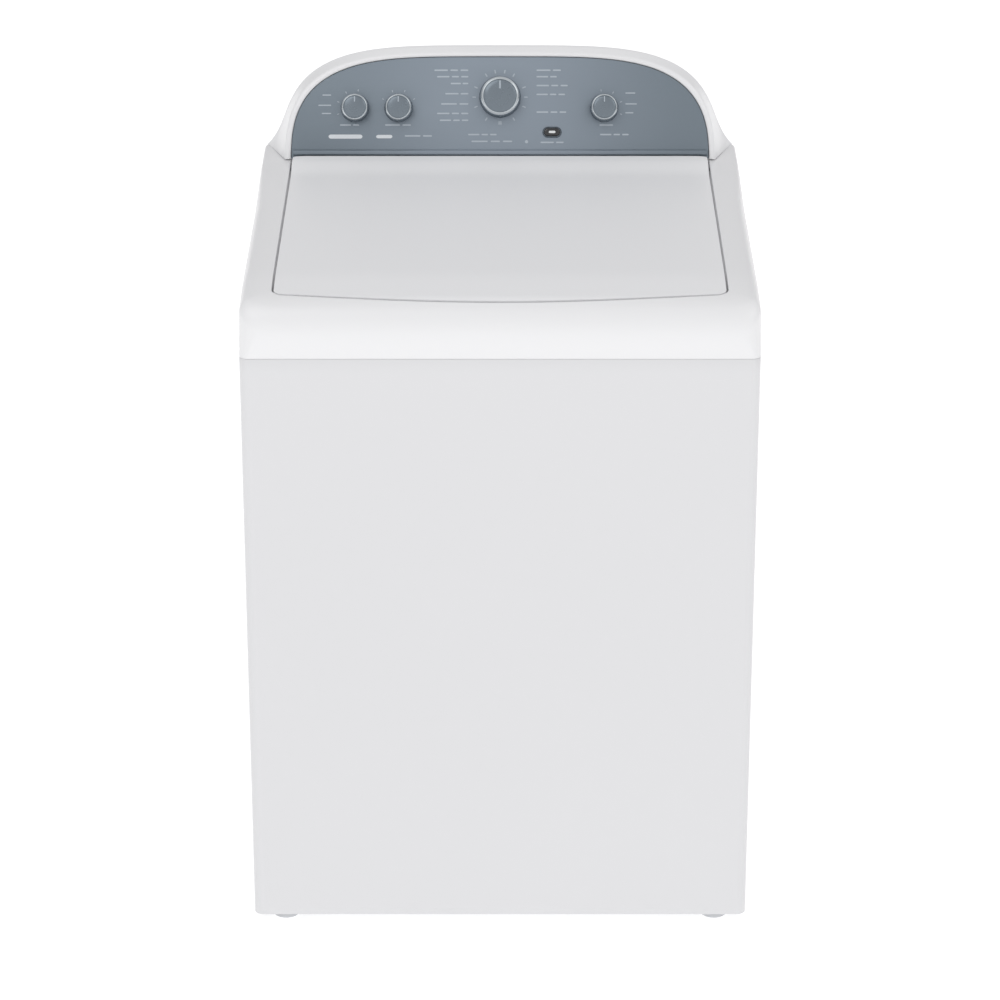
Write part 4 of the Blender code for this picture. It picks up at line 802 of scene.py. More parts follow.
def deck(looks):
    """The moulded top: skirt, rolled edges, lid recess and the loading opening with its lip."""
    outer = rounded_outline(HALF_WIDTH, FRONT_Y, SHELL_REAR_Y, DECK_CORNER, rear_corner=DECK_REAR_CORNER)
    centre_y = (FRONT_Y + SHELL_REAR_Y) / 2
    half_depth = (SHELL_REAR_Y - FRONT_Y) / 2

    def roll_radius(x, y):
        facing = Vector((0.0, 0.0))
        corner = DECK_CORNER if y < centre_y else DECK_REAR_CORNER
        if abs(x) > HALF_WIDTH - corner:
            facing.x = abs(x) - (HALF_WIDTH - corner)
        if y < FRONT_Y + corner:
            facing.y = y - (FRONT_Y + corner)
        elif y > SHELL_REAR_Y - corner:
            facing.y = y - (SHELL_REAR_Y - corner)
        share = facing.y ** 2 / max(facing.length_squared, 1e-9)
        end_radius = ROLL_FRONT if y < centre_y else ROLL_REAR
        fade = smooth_step((y - ROLL_FADE_Y[0]) / (ROLL_FADE_Y[1] - ROLL_FADE_Y[0]))
        side_radius = ROLL_SIDE + (ROLL_SIDE_REAR - ROLL_SIDE) * fade
        return side_radius + (end_radius - side_radius) * share

    def rolled(degrees, inside=0.0):
        angle = math.radians(degrees)
        ring = []
        for x, y in outer:
            radius = roll_radius(x, y)
            inner = max(radius - inside, 0.0)
            inset = radius - inner * math.cos(angle)
            x_scale = (HALF_WIDTH - inset) / HALF_WIDTH
            y_scale = (half_depth - inset) / half_depth
            ring_y = centre_y + (y - centre_y) * y_scale
            height = (DECK_Z - radius + inner * math.sin(angle) - max(inside - radius, 0.0)
                      - front_drop(ring_y))
            ring.append((x * x_scale, ring_y, height))
        return ring

    def skirt(inset, height, corner=DECK_CORNER):
        outline = rounded_outline(HALF_WIDTH - inset, FRONT_Y + inset, SHELL_REAR_Y - inset, corner - inset,
                                  rear_corner=DECK_REAR_CORNER - inset)
        return [(x, y, height) for x, y in outline]

    def recess(grow, height=None, drop=0.0, front_gap=0.0):
        outline = rounded_outline(RECESS_X + grow, RECESS_FRONT_Y - grow, RECESS_REAR_Y + grow,
                                  RECESS_CORNER + grow, FRONT_BOW, rear_corner=RECESS_REAR_CORNER + grow)
        ring = []
        for x, y in outline:
            below = drop + front_gap * smooth_step((-0.22 - y) / 0.06)
            ring.append((x, y, height if height is not None else deck_z(y) - below))
        return ring

    def opening(grow, height):
        outline = rounded_outline(OPENING_X + grow, OPENING_FRONT_Y - grow, OPENING_REAR_Y + grow,
                                  OPENING_CORNER + grow)
        return [(x, y, height) for x, y in outline]

    floor = RECESS_FLOOR_Z
    square = CABINET_CORNER
    rings = [skirt(0.0003, SEAM_Z, square), skirt(0.0, SEAM_Z + 0.0004, square)]
    rings += [rolled(degrees) for degrees in (0, 8, 16, 24, 32, 40, 48, 55, 62)]
    rings += [recess(0.0014), recess(0.0007, drop=0.0001), recess(0.0002, drop=0.0005),
              recess(0.0, drop=0.0012),
              recess(0.0, drop=0.0062, front_gap=0.0060), recess(-0.0016, drop=0.0068, front_gap=0.0060),
              recess(-0.0022, drop=0.0078, front_gap=0.0060),
              recess(-0.0016, drop=0.0090, front_gap=0.0060),
              recess(-0.0008, floor + 0.012), recess(-0.0012, floor + 0.004),
              recess(-0.0024, floor + 0.0012),
              recess(-0.0050, floor), opening(0.0090, floor), opening(0.0050, floor - 0.0006),
              opening(0.0018, floor - 0.0030), opening(0.0003, floor - 0.0070),
              opening(0.0, floor - 0.0120),
              opening(0.0, OPENING_LIP_Z + 0.002), opening(0.0006, OPENING_LIP_Z),
              opening(0.0016, OPENING_LIP_Z),
              opening(DECK_WALL, OPENING_LIP_Z + 0.002), opening(DECK_WALL, floor - 0.010),
              opening(0.0060, floor - 0.0027), opening(0.0100, floor - DECK_WALL),
              recess(0.0, floor - DECK_WALL), recess(DECK_WALL, floor + 0.002),
              recess(DECK_WALL, drop=0.0032)]
    rings += [rolled(55, DECK_WALL), rolled(30, DECK_WALL), skirt(DECK_WALL, 0.8865),
              skirt(0.0026, SEAM_Z + 0.006, square), skirt(0.0026, SEAM_Z - 0.007, square),
              skirt(0.0018, SEAM_Z - 0.007, square), skirt(0.0018, SEAM_Z, square)]
    top = finish_mesh("deck_moulding", loft(rings, closed=True), looks["gloss"], "cabinet", 42)
    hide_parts("top_deck")


# ---------------------------------------------------------------- lid


def lid_z(x, y):
    """The lid's top: level with the deck round it, eased down at its sides, and rising to its hinge."""
    side_share = max(0.0, 1 - (LID_X - abs(x)) / 0.020)
    rise_share = smooth_step(1 - (LID_REAR_Y - y) / LID_RISE_LENGTH)
    return deck_z(y) + LID_RISE * rise_share - LID_SIDE_DROP * side_share ** 2


def lid_grid(x_half, front, rear, corner, bow, height, rows_along=44):
    """Rows of points from front to rear, narrower through the rounded front corners."""
    stations = []
    for step in range(13):
        angle = math.radians(90 * step / 12)
        stations.append((front + corner * (1 - math.cos(angle)), x_half - corner * (1 - math.sin(angle))))
    length = rear - front - corner
    for step in range(1, rows_along):
        stations.append((front + corner + length * step / rows_along, x_half))
    stations.append((rear - 0.001, x_half - 0.001))
    stations.append((rear, x_half - 0.004))
    shares = [math.sin(math.pi / 2 * step / 22) for step in range(-22, 23)]
    rows = []
    for y, half in stations:
        fade = smooth_step(1 - (y - front) / 0.10)
        row = []
        for share in shares:
            x = half * share
            row_y = y - bow * (1 - (x / x_half) ** 2) * fade
            row.append((x, row_y, height(x, row_y)))
        rows.append(row)
    return rows


def lid_outer(looks):
    """The pressed lid with a rolled edge into its skirt."""
    top = lid_grid(LID_X, LID_FRONT_Y, LID_REAR_Y, LID_CORNER, FRONT_BOW, lid_z)
    bm = bmesh.new()
    verts = [[bm.verts.new(point) for point in row] for row in top]
    for low, high in zip(verts, verts[1:]):
        for column in range(len(low) - 1):
            bm.faces.new((low[column], low[column + 1], high[column + 1], high[column]))
    rim = [edge for edge in bm.edges if edge.is_boundary]
    made = bmesh.ops.extrude_edge_only(bm, edges=rim)["geom"]
    for vert in made:
        if isinstance(vert, bmesh.types.BMVert):
            vert.co.z -= LID_SKIRT
    bmesh.ops.bevel(bm, geom=rim, offset=LID_EDGE, segments=4, affect="EDGES", clamp_overlap=True)
    lid = finish_mesh("lid_pressing", bm, looks["lid"], "lid", 50)
    sheet = lid.modifiers.new("sheet", "SOLIDIFY")
    sheet.thickness = LID_SHEET
    sheet.offset = -1
    sheet.use_even_offset = True
    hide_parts("lid_outer")


def lid_inner(looks):
    """The inner moulding: a dished pan with long beads, a raised border and its screws."""
    def bead(distance, half):
        return smooth_step(1 - abs(distance) / half)

    def pan_z(x, y):
        across = smooth_step((LID_X - 0.020 - abs(x)) / 0.030)
        along = smooth_step((y - LID_FRONT_Y - 0.035) / 0.030) * smooth_step((0.190 - y) / 0.030)
        depth = 0.0030 + 0.0090 * across * along
        inside = smooth_step((0.235 - abs(x)) / 0.02) * smooth_step((y + 0.215) / 0.02)
        inside *= smooth_step((0.150 - y) / 0.02)
        beads = max(bead(abs(x) - 0.075, 0.012), bead(abs(x) - 0.190, 0.012))
        return lid_z(x, y) - LID_SHEET - 0.0010 - depth + 0.0045 * inside * beads

    shape = (LID_X - LID_INNER_INSET, LID_FRONT_Y + LID_INNER_INSET, LID_INNER_REAR_Y,
             LID_CORNER - LID_INNER_INSET, FRONT_BOW)
    bm = slab(lid_grid(*shape, lambda x, y: pan_z(x, y) + 0.0022, 60), lid_grid(*shape, pan_z, 60))
    pan = finish_mesh("lid_pan", bm, looks["white"], "lid", 50)
    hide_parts("lid_inner")

    heads = []
    for x, y in LID_SCREWS:
        z = pan_z(x, y)
        heads.append(turned([(0, z - 0.0018), (0.0036, z - 0.0016), (0.0042, z + 0.0004), (0, z + 0.0006)],
                            24, (x, y), 0.0003))
    finish_mesh("lid_screws", gather(*heads), looks["plated"], "lid")

    bumpers = []
    for x, y in LID_BUMPERS:
        z = pan_z(x, y)
        bumpers.append(turned([(0, RECESS_FLOOR_Z + 0.0010), (0.0055, RECESS_FLOOR_Z + 0.0010),
                               (0.0070, RECESS_FLOOR_Z + 0.0040), (0.0080, z + 0.0008), (0, z + 0.0008)],
                              28, (x, y), 0.0012))
    pads = finish_mesh("lid_bumpers", gather(*bumpers), looks["rubber"], "lid")
    soften("lid_strike", 0.0012, looks["grey"])
    soften("lid_lock", 0.0015, looks["grey"])
    for side in ("left", "right"):
        soften("hinge_pin_" + side, 0.0004, looks["plated"])
        soften("hinge_bush_" + side, 0.0004, looks["grey"])


# ---------------------------------------------------------------- console


def on_panel(x, up, out):
    """A point from a place on the panel: across, up along it, and out of its face."""
    y = PANEL_BASE_Y + up * math.sin(PANEL_LEAN) - out * math.cos(PANEL_LEAN)
    z = PANEL_BASE_Z + up * math.cos(PANEL_LEAN) + out * math.sin(PANEL_LEAN)
    return (x, y, z)


def panel_frame(x, up):
    """The matrix that puts a local frame on the panel, with its Z out of the face and its Y up it."""
    across = Vector((1, 0, 0))
    rising = Vector((0, math.sin(PANEL_LEAN), math.cos(PANEL_LEAN)))
    outward = Vector((0, -math.cos(PANEL_LEAN), math.sin(PANEL_LEAN)))
    turn = Matrix((across, rising, outward)).transposed().to_4x4()
    return Matrix.Translation(on_panel(x, up, 0)) @ turn


def knob_place(name):
    """Where a knob sits on the panel: across and up, from its joint."""
    x, _, z = JOINTS[name + "_turn"]["pos_m"]
    return x, (z - PANEL_BASE_Z) / math.cos(PANEL_LEAN)


def arch(half, rise, base=0.0, steps=120, base_steps=40):
    """A superellipse arch standing on a straight base, anticlockwise from its right foot.

    Its points lie closest together at its two feet, where it curves out most.
    """
    points = []
    for step in range(steps + 1):
        angle = math.pi * (1 - math.cos(math.pi * step / steps)) / 2
        cosine, sine = math.cos(angle), math.sin(angle)
        x = half * math.copysign(abs(cosine) ** (2 / ARCH_SIDE_POWER), cosine)
        points.append((x, base + (rise - base) * abs(sine) ** (2 / ARCH_TOP_POWER)))
    for step in range(1, base_steps):
        points.append((-half + 2 * half * step / base_steps, base))
    return points


def console_housing(looks):
    """The arched surround: a soft rim round the panel, flaring out to the deck behind it."""
    rear_y = HOUSING_HIGH[1]
    rear_half, rear_rise = HOUSING_REAR_HALF, HOUSING_HIGH[2] - FOOT_Z

    def front(half, rise, base, out):
        return [on_panel(x, up, out) for x, up in arch(half, rise, base)]

    def rear(shrink, base, y, spread_share):
        ring = []
        half = rear_half - shrink
        for x, up in arch(half, rear_rise - shrink, base):
            wide = spread_share * FLARE * math.exp(-up / FLARE_HEIGHT) * min(1.0, abs(x) / half)
            ring.append((x + math.copysign(wide, x), y, FOOT_Z + up))
        return ring

    def between(low, high, share):
        return [tuple(a + (b - a) * share for a, b in zip(first, second))
                for first, second in zip(low, high)]

    rim_edge = front(0.3155, 0.1572, -0.0015, 0.0003)
    crown = rear(0.0012, 0.0, rear_y - 0.0065, 0.9)
    seat = rear(0.004, 0.003, rear_y - 0.005, 0.0)
    inner_front = front(0.3090, 0.1510, 0.0025, -0.0080)
    rings = [front(0.3072, 0.1500, -0.0004, -0.0065), front(0.3070, 0.1498, -0.0004, 0.0006),
             front(0.3073, 0.1501, -0.0005, 0.0016), front(0.3083, 0.1510, -0.0006, 0.0024),
             front(0.3100, 0.1525, -0.0008, 0.0027), front(0.3120, 0.1542, -0.0010, 0.0025),
             front(0.3140, 0.1560, -0.0013, 0.0017), rim_edge]
    rings += [between(rim_edge, crown, share) for share in (0.08, 0.22, 0.40, 0.60, 0.80)]
    rings += [crown, rear(0.0004, 0.0, rear_y - 0.003, 0.97), rear(0.0, 0.0, rear_y - 0.0012, 1.0),
              rear(0.0006, 0.0, rear_y, 0.98), rear(0.0034, 0.0026, rear_y, 0.0),
              rear(0.004, 0.003, rear_y - 0.0006, 0.0),
              seat, between(seat, inner_front, 0.4), between(seat, inner_front, 0.92)]
    shell = finish_mesh("console_surround", loft(rings, closed=True), looks["gloss"], "cabinet", 45)
    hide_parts("console_housing")

    cover = [(x, FOOT_Z + up) for x, up in arch(rear_half - 0.0047, rear_rise - 0.0047, 0.0037, 90, 30)]
    back = finish_mesh("console_back_sheet", prism(cover, rear_y - 0.0030, rear_y - 0.0012, 0.0, "Y"),
                       looks["zinc"], "cabinet")
    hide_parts("console_rear_cover")
    screws = [hex_screw((x, rear_y - 0.0012, z)) for x, z in CONSOLE_SCREWS]
    finish_mesh("console_back_screws", gather(*screws), looks["plated"], "cabinet")


def hex_screw(place, radius=0.0042):
    """A washer-faced hexagon head that points backwards."""
    washer = turned([(0, 0), (radius * 1.45, 0), (radius * 1.45, 0.0008), (0, 0.0008)], 28, radius=0.0002)
    head = turned([(0, 0.0006), (radius, 0.0006), (radius, 0.0034), (0, 0.0036)], 6, radius=0.0004)
    return moved(gather(washer, head), Matrix.Translation(place) @ Matrix.Rotation(-math.pi / 2, 4, "X"))


def console_panel(looks):
    """The satin panel with its softened edge, and the ledge along its foot."""
    outline = arch(PANEL_X, PANEL_UP)
    rings = []
    for shrink, out in ((0.0, -PANEL_SHEET), (0.0, -0.0006), (0.0002, -0.0001), (0.0006, 0.0)):
        rings.append([on_panel(x * (1 - shrink / PANEL_X), shrink + up * (1 - 2 * shrink / PANEL_UP), out)
                      for x, up in outline])
    panel = finish_mesh("panel_face", loft(rings), looks["panel"], "cabinet", 30)
    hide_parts("console_panel")

    low, high = LEDGE_UP
    section = ((low, -0.0002), (low, LEDGE_OUT - 0.0016), (low + 0.0008, LEDGE_OUT - 0.0004),
               (low + 0.0020, LEDGE_OUT), (high - 0.0030, LEDGE_OUT - 0.0002),
               (high - 0.0012, LEDGE_OUT - 0.0010),
               (high - 0.0003, LEDGE_OUT - 0.0024), (high, 0.0006), (high + 0.0006, -0.0002))
    ledge = []
    for step in range(61):
        x = LEDGE_HALF * (2 * step / 60 - 1)
        ledge.append([on_panel(x, up, out) for up, out in section])
    strip = finish_mesh("panel_ledge", loft(ledge), looks["panel"], "cabinet", 50)


def mark(x, up, length, height=0.0022, lean=0.0):
    """A small raised bar of print. x is its middle."""
    half = length / 2
    bm = prism(pill(half, min(height / 2, half * 0.999), 4), 0.00002, 0.00022)
    return moved(bm, panel_frame(x, up) @ Matrix.Rotation(lean, 4, "Z"))


def ring_marks(name, radius, length, start, end, count, height=0.0013):
    """Tick marks round a knob, from a start to an end angle in degrees clockwise from the top."""
    x, up = knob_place(name)
    ticks = []
    for step in range(count):
        angle = math.radians(90 - start - (end - start) * step / (count - 1))
        ticks.append(mark(x + radius * math.cos(angle), up + radius * math.sin(angle),
                          length, height, angle))
    return ticks


def label(x, up, length, height=0.0022):
    """A row of print from x towards +X, broken into two or three short bars when it is long."""
    if length > 0.040:
        pieces = ((0.0, 0.40), (0.47, 0.70), (0.77, 1.0))
    elif length > 0.024:
        pieces = ((0.0, 0.58), (0.67, 1.0))
    else:
        pieces = ((0.0, 1.0),)
    return [mark(x + length * (start + end) / 2, up, length * (end - start), height)
            for start, end in pieces]


def panel_marks(looks):
    """Plain bars and ticks in place of words: a column each side of the large knob, and short rows."""
    marks = []
    for up, length in ((0.1295, 0.050), (0.1200, 0.046), (0.1100, 0.026), (0.0950, 0.034), (0.0800, 0.040),
                       (0.0660, 0.046), (0.0560, 0.042)):
        marks += label(-0.0465 - length, up, length)
    for up, length in ((0.1295, 0.036), (0.1200, 0.030), (0.1070, 0.046), (0.0940, 0.042), (0.0680, 0.044)):
        marks += label(0.0535, up, length)
    for start, end, count in ((-32, 32, 4), (68, 112, 3), (148, 178, 2), (-178, -148, 2), (-112, -68, 3)):
        marks += ring_marks("cycle_knob", 0.0380, 0.0056, start, end, count, 0.0018)
    for name, start, end, count in (("temperature_knob", -110, 10, 4), ("water_level_knob", -60, 60, 4),
                                    ("rinse_knob", -10, 110, 4)):
        marks += ring_marks(name, 0.0262, 0.0034, start, end, count, 0.0013)
    for up, length in ((0.0930, 0.013), (0.0780, 0.019), (0.0660, 0.014)):
        marks += label(-0.2480 - length, up, length, 0.0018)
    for up, length in ((0.0960, 0.015), (0.0800, 0.017), (0.0670, 0.012)):
        marks += label(0.1840, up, length, 0.0018)
    for x, up, length in ((-0.2350, 0.0490, 0.028), (-0.1690, 0.0490, 0.038), (-0.1400, 0.0330, 0.040),
                          (-0.0470, 0.0350, 0.042), (-0.0420, 0.0250, 0.060), (0.0595, 0.0235, 0.034),
                          (0.1460, 0.0490, 0.020), (0.1470, 0.0350, 0.042)):
        marks += label(x, up, length)
    marks.append(mark(0.0390, 0.0245, 0.0050, 0.0050))
    printed = finish_mesh("panel_print", gather(*marks), looks["print"], "cabinet", 30)
    bars = gather(mark(-0.2270, 0.0320, 0.050, 0.0060), mark(-0.1700, 0.0320, 0.024, 0.0050))
    plain = finish_mesh("panel_bars", bars, looks["mark"], "cabinet", 30)


def knob(name, radius, out, looks):
    """A tapered cap with fine grips, a metal chamfer round a crowned face, and a pointer."""
    x, up = knob_place(name)
    place = panel_frame(x, up)
    steps = 120
    profile = [(0, -0.0100), (0.0030, -0.0100), (0.0030, 0.0010), (radius * 0.90, 0.0010),
               (radius * 0.97, 0.0014), (radius, 0.0026), (radius * 0.995, 0.0042),
               (radius * 0.960, 0.0056),
               (radius * 0.945, out * 0.40), (radius * 0.925, out * 0.77), (radius * 0.900, out * 0.80),
               (radius * 0.800, out * 0.90), (radius * 0.60, out * 0.938), (radius * 0.30, out * 0.965),
               (0, out * 0.972)]
    body = turned(profile, steps)
    for vert in body.verts:
        reach = math.hypot(vert.co.x, vert.co.y)
        side = 0.0058 < vert.co.z < out * 0.78 and reach > radius * 0.9
        if side:
            angle = math.atan2(vert.co.y, vert.co.x)
            groove = 1.0 - 0.018 * max(0.0, math.cos(angle * steps / 4))
            vert.co.x *= groove
            vert.co.y *= groove
    cap = finish_mesh(name + "_cap", moved(body, place), looks["knob"], name, 40)
    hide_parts(name)
    rim = turned([(radius * 0.925, out * 0.76), (radius * 0.942, out * 0.79), (radius * 0.925, out * 0.85),
                  (radius * 0.880, out * 0.91), (radius * 0.830, out * 0.945),
                  (radius * 0.800, out * 0.945),
                  (radius * 0.795, out * 0.89), (radius * 0.880, out * 0.80)], steps, radius=0.0003)
    ring = finish_mesh(name + "_rim", moved(rim, place), looks["rim"], name, 60)
    pointer = prism(pill(radius * 0.20, radius * 0.040, 6), out * 0.90, out * 0.975, 0.0001)
    out_from_middle = Matrix.Translation((0, radius * 0.54, 0))
    pointer = moved(pointer, place @ out_from_middle @ Matrix.Rotation(math.pi / 2, 4, "Z"))
    hand = finish_mesh(name + "_pointer", pointer, looks["print"], name)


def start_button(looks):
    """A glossy black oval with a crowned face, a pale window in it and a thin bezel round it."""
    place = panel_frame(BUTTON_X, BUTTON_UP)

    def ring(grow, out):
        return [(px, py, out) for px, py in pill(BUTTON_HALF[0] + grow, BUTTON_HALF[1] + grow, 16)]

    body = loft([ring(0, -0.0060), ring(0, 0.0020), ring(-0.0003, 0.0028), ring(-0.0012, 0.0034),
                 ring(-0.0028, 0.0037), ring(-0.0045, 0.0038)])
    made = finish_mesh("button_cap", moved(body, place), looks["button"], "start_button", 50)
    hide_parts("start_button")
    window = prism(pill(0.0050, 0.0017, 8), 0.0034, 0.00395, 0.0001)
    lamp = finish_mesh("button_window", moved(window, place), looks["lamp"], "start_button")
    bezel = loft([ring(0.0007, 0.0001), ring(0.0007, 0.0010), ring(0.0012, 0.0014), ring(0.0019, 0.0010),
                  ring(0.0022, 0.0001)], closed=True)
    frame_ring = finish_mesh("button_bezel", moved(bezel, place), looks["knob"], "cabinet", 60)


# ---------------------------------------------------------------- repeats and fasteners


def around(count, centre, make, offset=0.0):
    """The same part repeated round an upright line."""
    parts = []
    for step in range(count):
        turn = Matrix.Rotation(2 * math.pi * (step + offset) / count, 4, "Z")
        parts.append(moved(make(), Matrix.Translation((centre[0], centre[1], 0)) @ turn))
    return parts


def facing_back(bm, x, z):
    """Lay a part turned about its own Z along +Y, at a place on the rear panel."""
    return moved(bm, Matrix.Translation((x, 0, z)) @ Matrix.Rotation(-math.pi / 2, 4, "X"))


def hex_bolt(place, radius=0.0050, height=0.0045):
    """A bolt head that hangs down from its place."""
    x, y, z = place
    washer = turned([(0, z - 0.0010), (radius * 1.5, z - 0.0010), (radius * 1.5, z + 0.0004),
                     (0, z + 0.0004)],
                    24, (x, y), 0.0002)
    head = turned([(0, z - height), (radius, z - height), (radius, z - 0.0008), (0, z - 0.0008)], 6, (x, y),
                  0.0005)
    return gather(washer, head)


# ---------------------------------------------------------------- rear and sides


def rear_panel(looks):
    """Louvres, screws and a folded hem on the pressed back sheet, and what passes through it."""
    soften("rear_panel", 0.0030, looks["zinc"], 3, 15)
    face = BACK_SHEET_Y + 0.0014
    field = face + 0.0050
    louvres = []
    for row in range(10):
        z = 0.520 + 0.022 * row
        for middle in (-0.112, 0.112):
            rings = []
            for step in range(25):
                share = step / 24
                swell = math.sin(math.pi * share) ** 0.35
                out = 0.0062 * swell
                half = 0.0055 * swell + 0.0004
                x = middle + 0.090 * (2 * share - 1)
                rings.append([(x, field - 0.0006, z + half), (x, field + out * 0.55, z + half * 0.55),
                              (x, field + out * 0.90, z), (x, field + out, z - half),
                              (x, field + out * 0.80, z - half), (x, field + out * 0.30, z - half * 0.2),
                              (x, field - 0.0008, z + half * 0.5)])
            louvres.append(loft(rings))
    extra("rear_louvres", gather(*louvres), looks["zinc"], "rear_panel", 50)
    screws = []
    for side in (-1, 1):
        screws += [hex_screw((side * 0.334, face, z), 0.0036) for z in (0.040, 0.245, 0.450, 0.655, 0.835)]
    screws += [hex_screw((x, face, z), 0.0036) for x in (-0.170, 0.0, 0.170) for z in (0.030, 0.835)]
    extra("rear_screws", gather(*screws), looks["plated"], "rear_panel")

    x, z = DRAIN_OUTLET
    spout = [(0.0120, 0.3150), (0.0120, 0.3400), (0.0148, 0.3400), (0.0154, 0.3392), (0.0146, 0.3374),
             (0.0157, 0.3364), (0.0148, 0.3342), (0.0160, 0.3332), (0.0152, 0.3308), (0.0192, 0.3304),
             (0.0192, 0.3281), (0.0152, 0.3262), (0.0150, 0.3150)]
    stand_in("drain_spout", facing_back(turned(spout, 64), x, z), looks["grey"], "drain_outlet", 45)
    x, z = CORD_GLAND
    gland = [(0.0045, 0.3180), (0.0045, 0.3420), (0.0066, 0.3420), (0.0074, 0.3408), (0.0070, 0.3396),
             (0.0084, 0.3388), (0.0080, 0.3374), (0.0096, 0.3366), (0.0092, 0.3350), (0.0125, 0.3330),
             (0.0125, 0.3290), (0.0100, 0.3281), (0.0088, 0.3262), (0.0088, 0.3180)]
    stand_in("cord_gland", facing_back(turned(gland, 48), x, z), looks["rubber"], "power_cord_gland", 45)


def braces(looks):
    """The side rails with their rod seats, and the screws that hold each one."""
    for side, name in ((-1, "left"), (1, "right")):
        soften("top_brace_" + name, 0.0005, looks["zinc"])
        screws = []
        for y in (-0.28, -0.10, 0.10, 0.27):
            screw = turned([(0, 0), (0.0038, 0), (0.0038, 0.0026), (0, 0.0028)], 6, radius=0.0004)
            turn = Matrix.Rotation(-side * math.pi / 2, 4, "Y")
            place = Matrix.Translation((side * 0.3441, y, 0.8640)) @ turn
            screws.append(moved(screw, place))
        extra("brace_screws_" + name, gather(*screws), looks["plated"], "top_brace_" + name)


# ---------------------------------------------------------------- inside the console


def console_inside(looks):
    """Water valve with its coils and threaded ports, spray nozzle, pressure sensor and board."""
    low_x, high_x = VALVE_PORTS_X[0] - 0.018, VALVE_PORTS_X[1] + 0.018
    body = [block((low_x, 0.3118, VALVE_Z - 0.018), (high_x, 0.3255, VALVE_Z + 0.014), 0.0015)]
    coils, threads = [], []
    for x in VALVE_PORTS_X:
        body.append(bar((x, 0.2990, VALVE_Z), (x, 0.3120, VALVE_Z), 0.0085, 32, 0.0008))
        coils.append(bar((x, 0.3004, VALVE_Z), (x, 0.3112, VALVE_Z), 0.0125, 40, 0.0012))
        coils.append(block((x - 0.0060, 0.3020, VALVE_Z + 0.010), (x + 0.0060, 0.3095, VALVE_Z + 0.0140),
                           0.0006))
        profile = [(0.0105, 0.3200), (0.0105, 0.3430), (0.0120, 0.3430), (0.0124, 0.3424)]
        for turn in range(5):
            y = 0.3416 - 0.0020 * turn
            profile += [(0.0132, y), (0.0132, y - 0.0006), (0.0123, y - 0.0010)]
        profile += [(0.0123, 0.3310), (0.0150, 0.3302), (0.0150, 0.3276), (0.0123, 0.3270),
                    (0.0123, 0.3200)]
        threads.append(facing_back(turned(profile, 64), x, VALVE_Z))
        mesh_disc = turned([(0, 0.3320), (0.0108, 0.3320), (0.0108, 0.3328), (0, 0.3336)], 40)
        threads.append(facing_back(mesh_disc, x, VALVE_Z))
    stand_in("valve_body", gather(*body), looks["grey"], "water_inlet_valve")
    extra("valve_coils", gather(*coils), looks["dark"], "water_inlet_valve")
    extra("valve_ports", gather(*threads), looks["white"], "water_inlet_valve", 45)
    soften("inlet_nozzle", 0.0012, looks["grey"])

    low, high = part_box("pressure_sensor")
    x, z, base = (low[0] + high[0]) / 2, (low[2] + high[2]) / 2, high[1]
    sensor = turned([(0, 0), (0.022, 0), (0.022, 0.0030), (0.0205, 0.0040), (0.022, 0.0052),
                     (0.022, 0.0100),
                     (0.0145, 0.0120), (0.0100, 0.0126), (0.0100, 0.0150), (0.0034, 0.0156),
                     (0.0042, 0.0172),
                     (0.0030, 0.0182), (0.0030, 0.0200), (0, 0.0200)], 56, radius=0.0004)
    sensor = moved(sensor, Matrix.Translation((x, base, z)) @ Matrix.Rotation(math.pi / 2, 4, "X"))
    stand_in("pressure_switch", sensor, looks["grey"], "pressure_sensor")

    frame["nodes"]["control_board"].data.materials.clear()
    frame["nodes"]["control_board"].data.materials.append(looks["board"])
    chips, cans, plugs = [], [], []
    top = -0.0143
    for x, up, long, wide, tall in ((-0.085, 0.060, 0.014, 0.014, 0.0022),
                                    (-0.060, 0.092, 0.010, 0.006, 0.0020),
                                    (0.040, 0.048, 0.016, 0.008, 0.0024),
                                    (0.100, 0.090, 0.012, 0.012, 0.0022),
                                    (-0.180, 0.045, 0.008, 0.006, 0.0020),
                                    (0.125, 0.055, 0.020, 0.010, 0.0028)):
        chips.append(block((x - long / 2, up - wide / 2, top), (x + long / 2, up + wide / 2, top + tall),
                           0.0003))
    for x, up, radius in ((0.060, 0.080, 0.0040), (0.070, 0.094, 0.0032), (-0.110, 0.044, 0.0040),
                          (-0.040, 0.060, 0.0030)):
        cans.append(turned([(0, top), (radius, top), (radius, top + 0.0080), (0, top + 0.0080)], 32,
                           (x, up), 0.0006))
    for x in (-0.220, -0.100, 0.020, 0.160):
        plugs.append(block((x - 0.009, 0.0240, top), (x + 0.009, 0.0310, top + 0.0070), 0.0005))
    place = panel_frame(0, 0)
    extra("board_chips", moved(gather(*chips), place), looks["dark"], "control_board")
    extra("board_cans", moved(gather(*cans), place), looks["plated"], "control_board")
    extra("board_plugs", moved(gather(*plugs), place), looks["white"], "control_board")


# ---------------------------------------------------------------- suspension


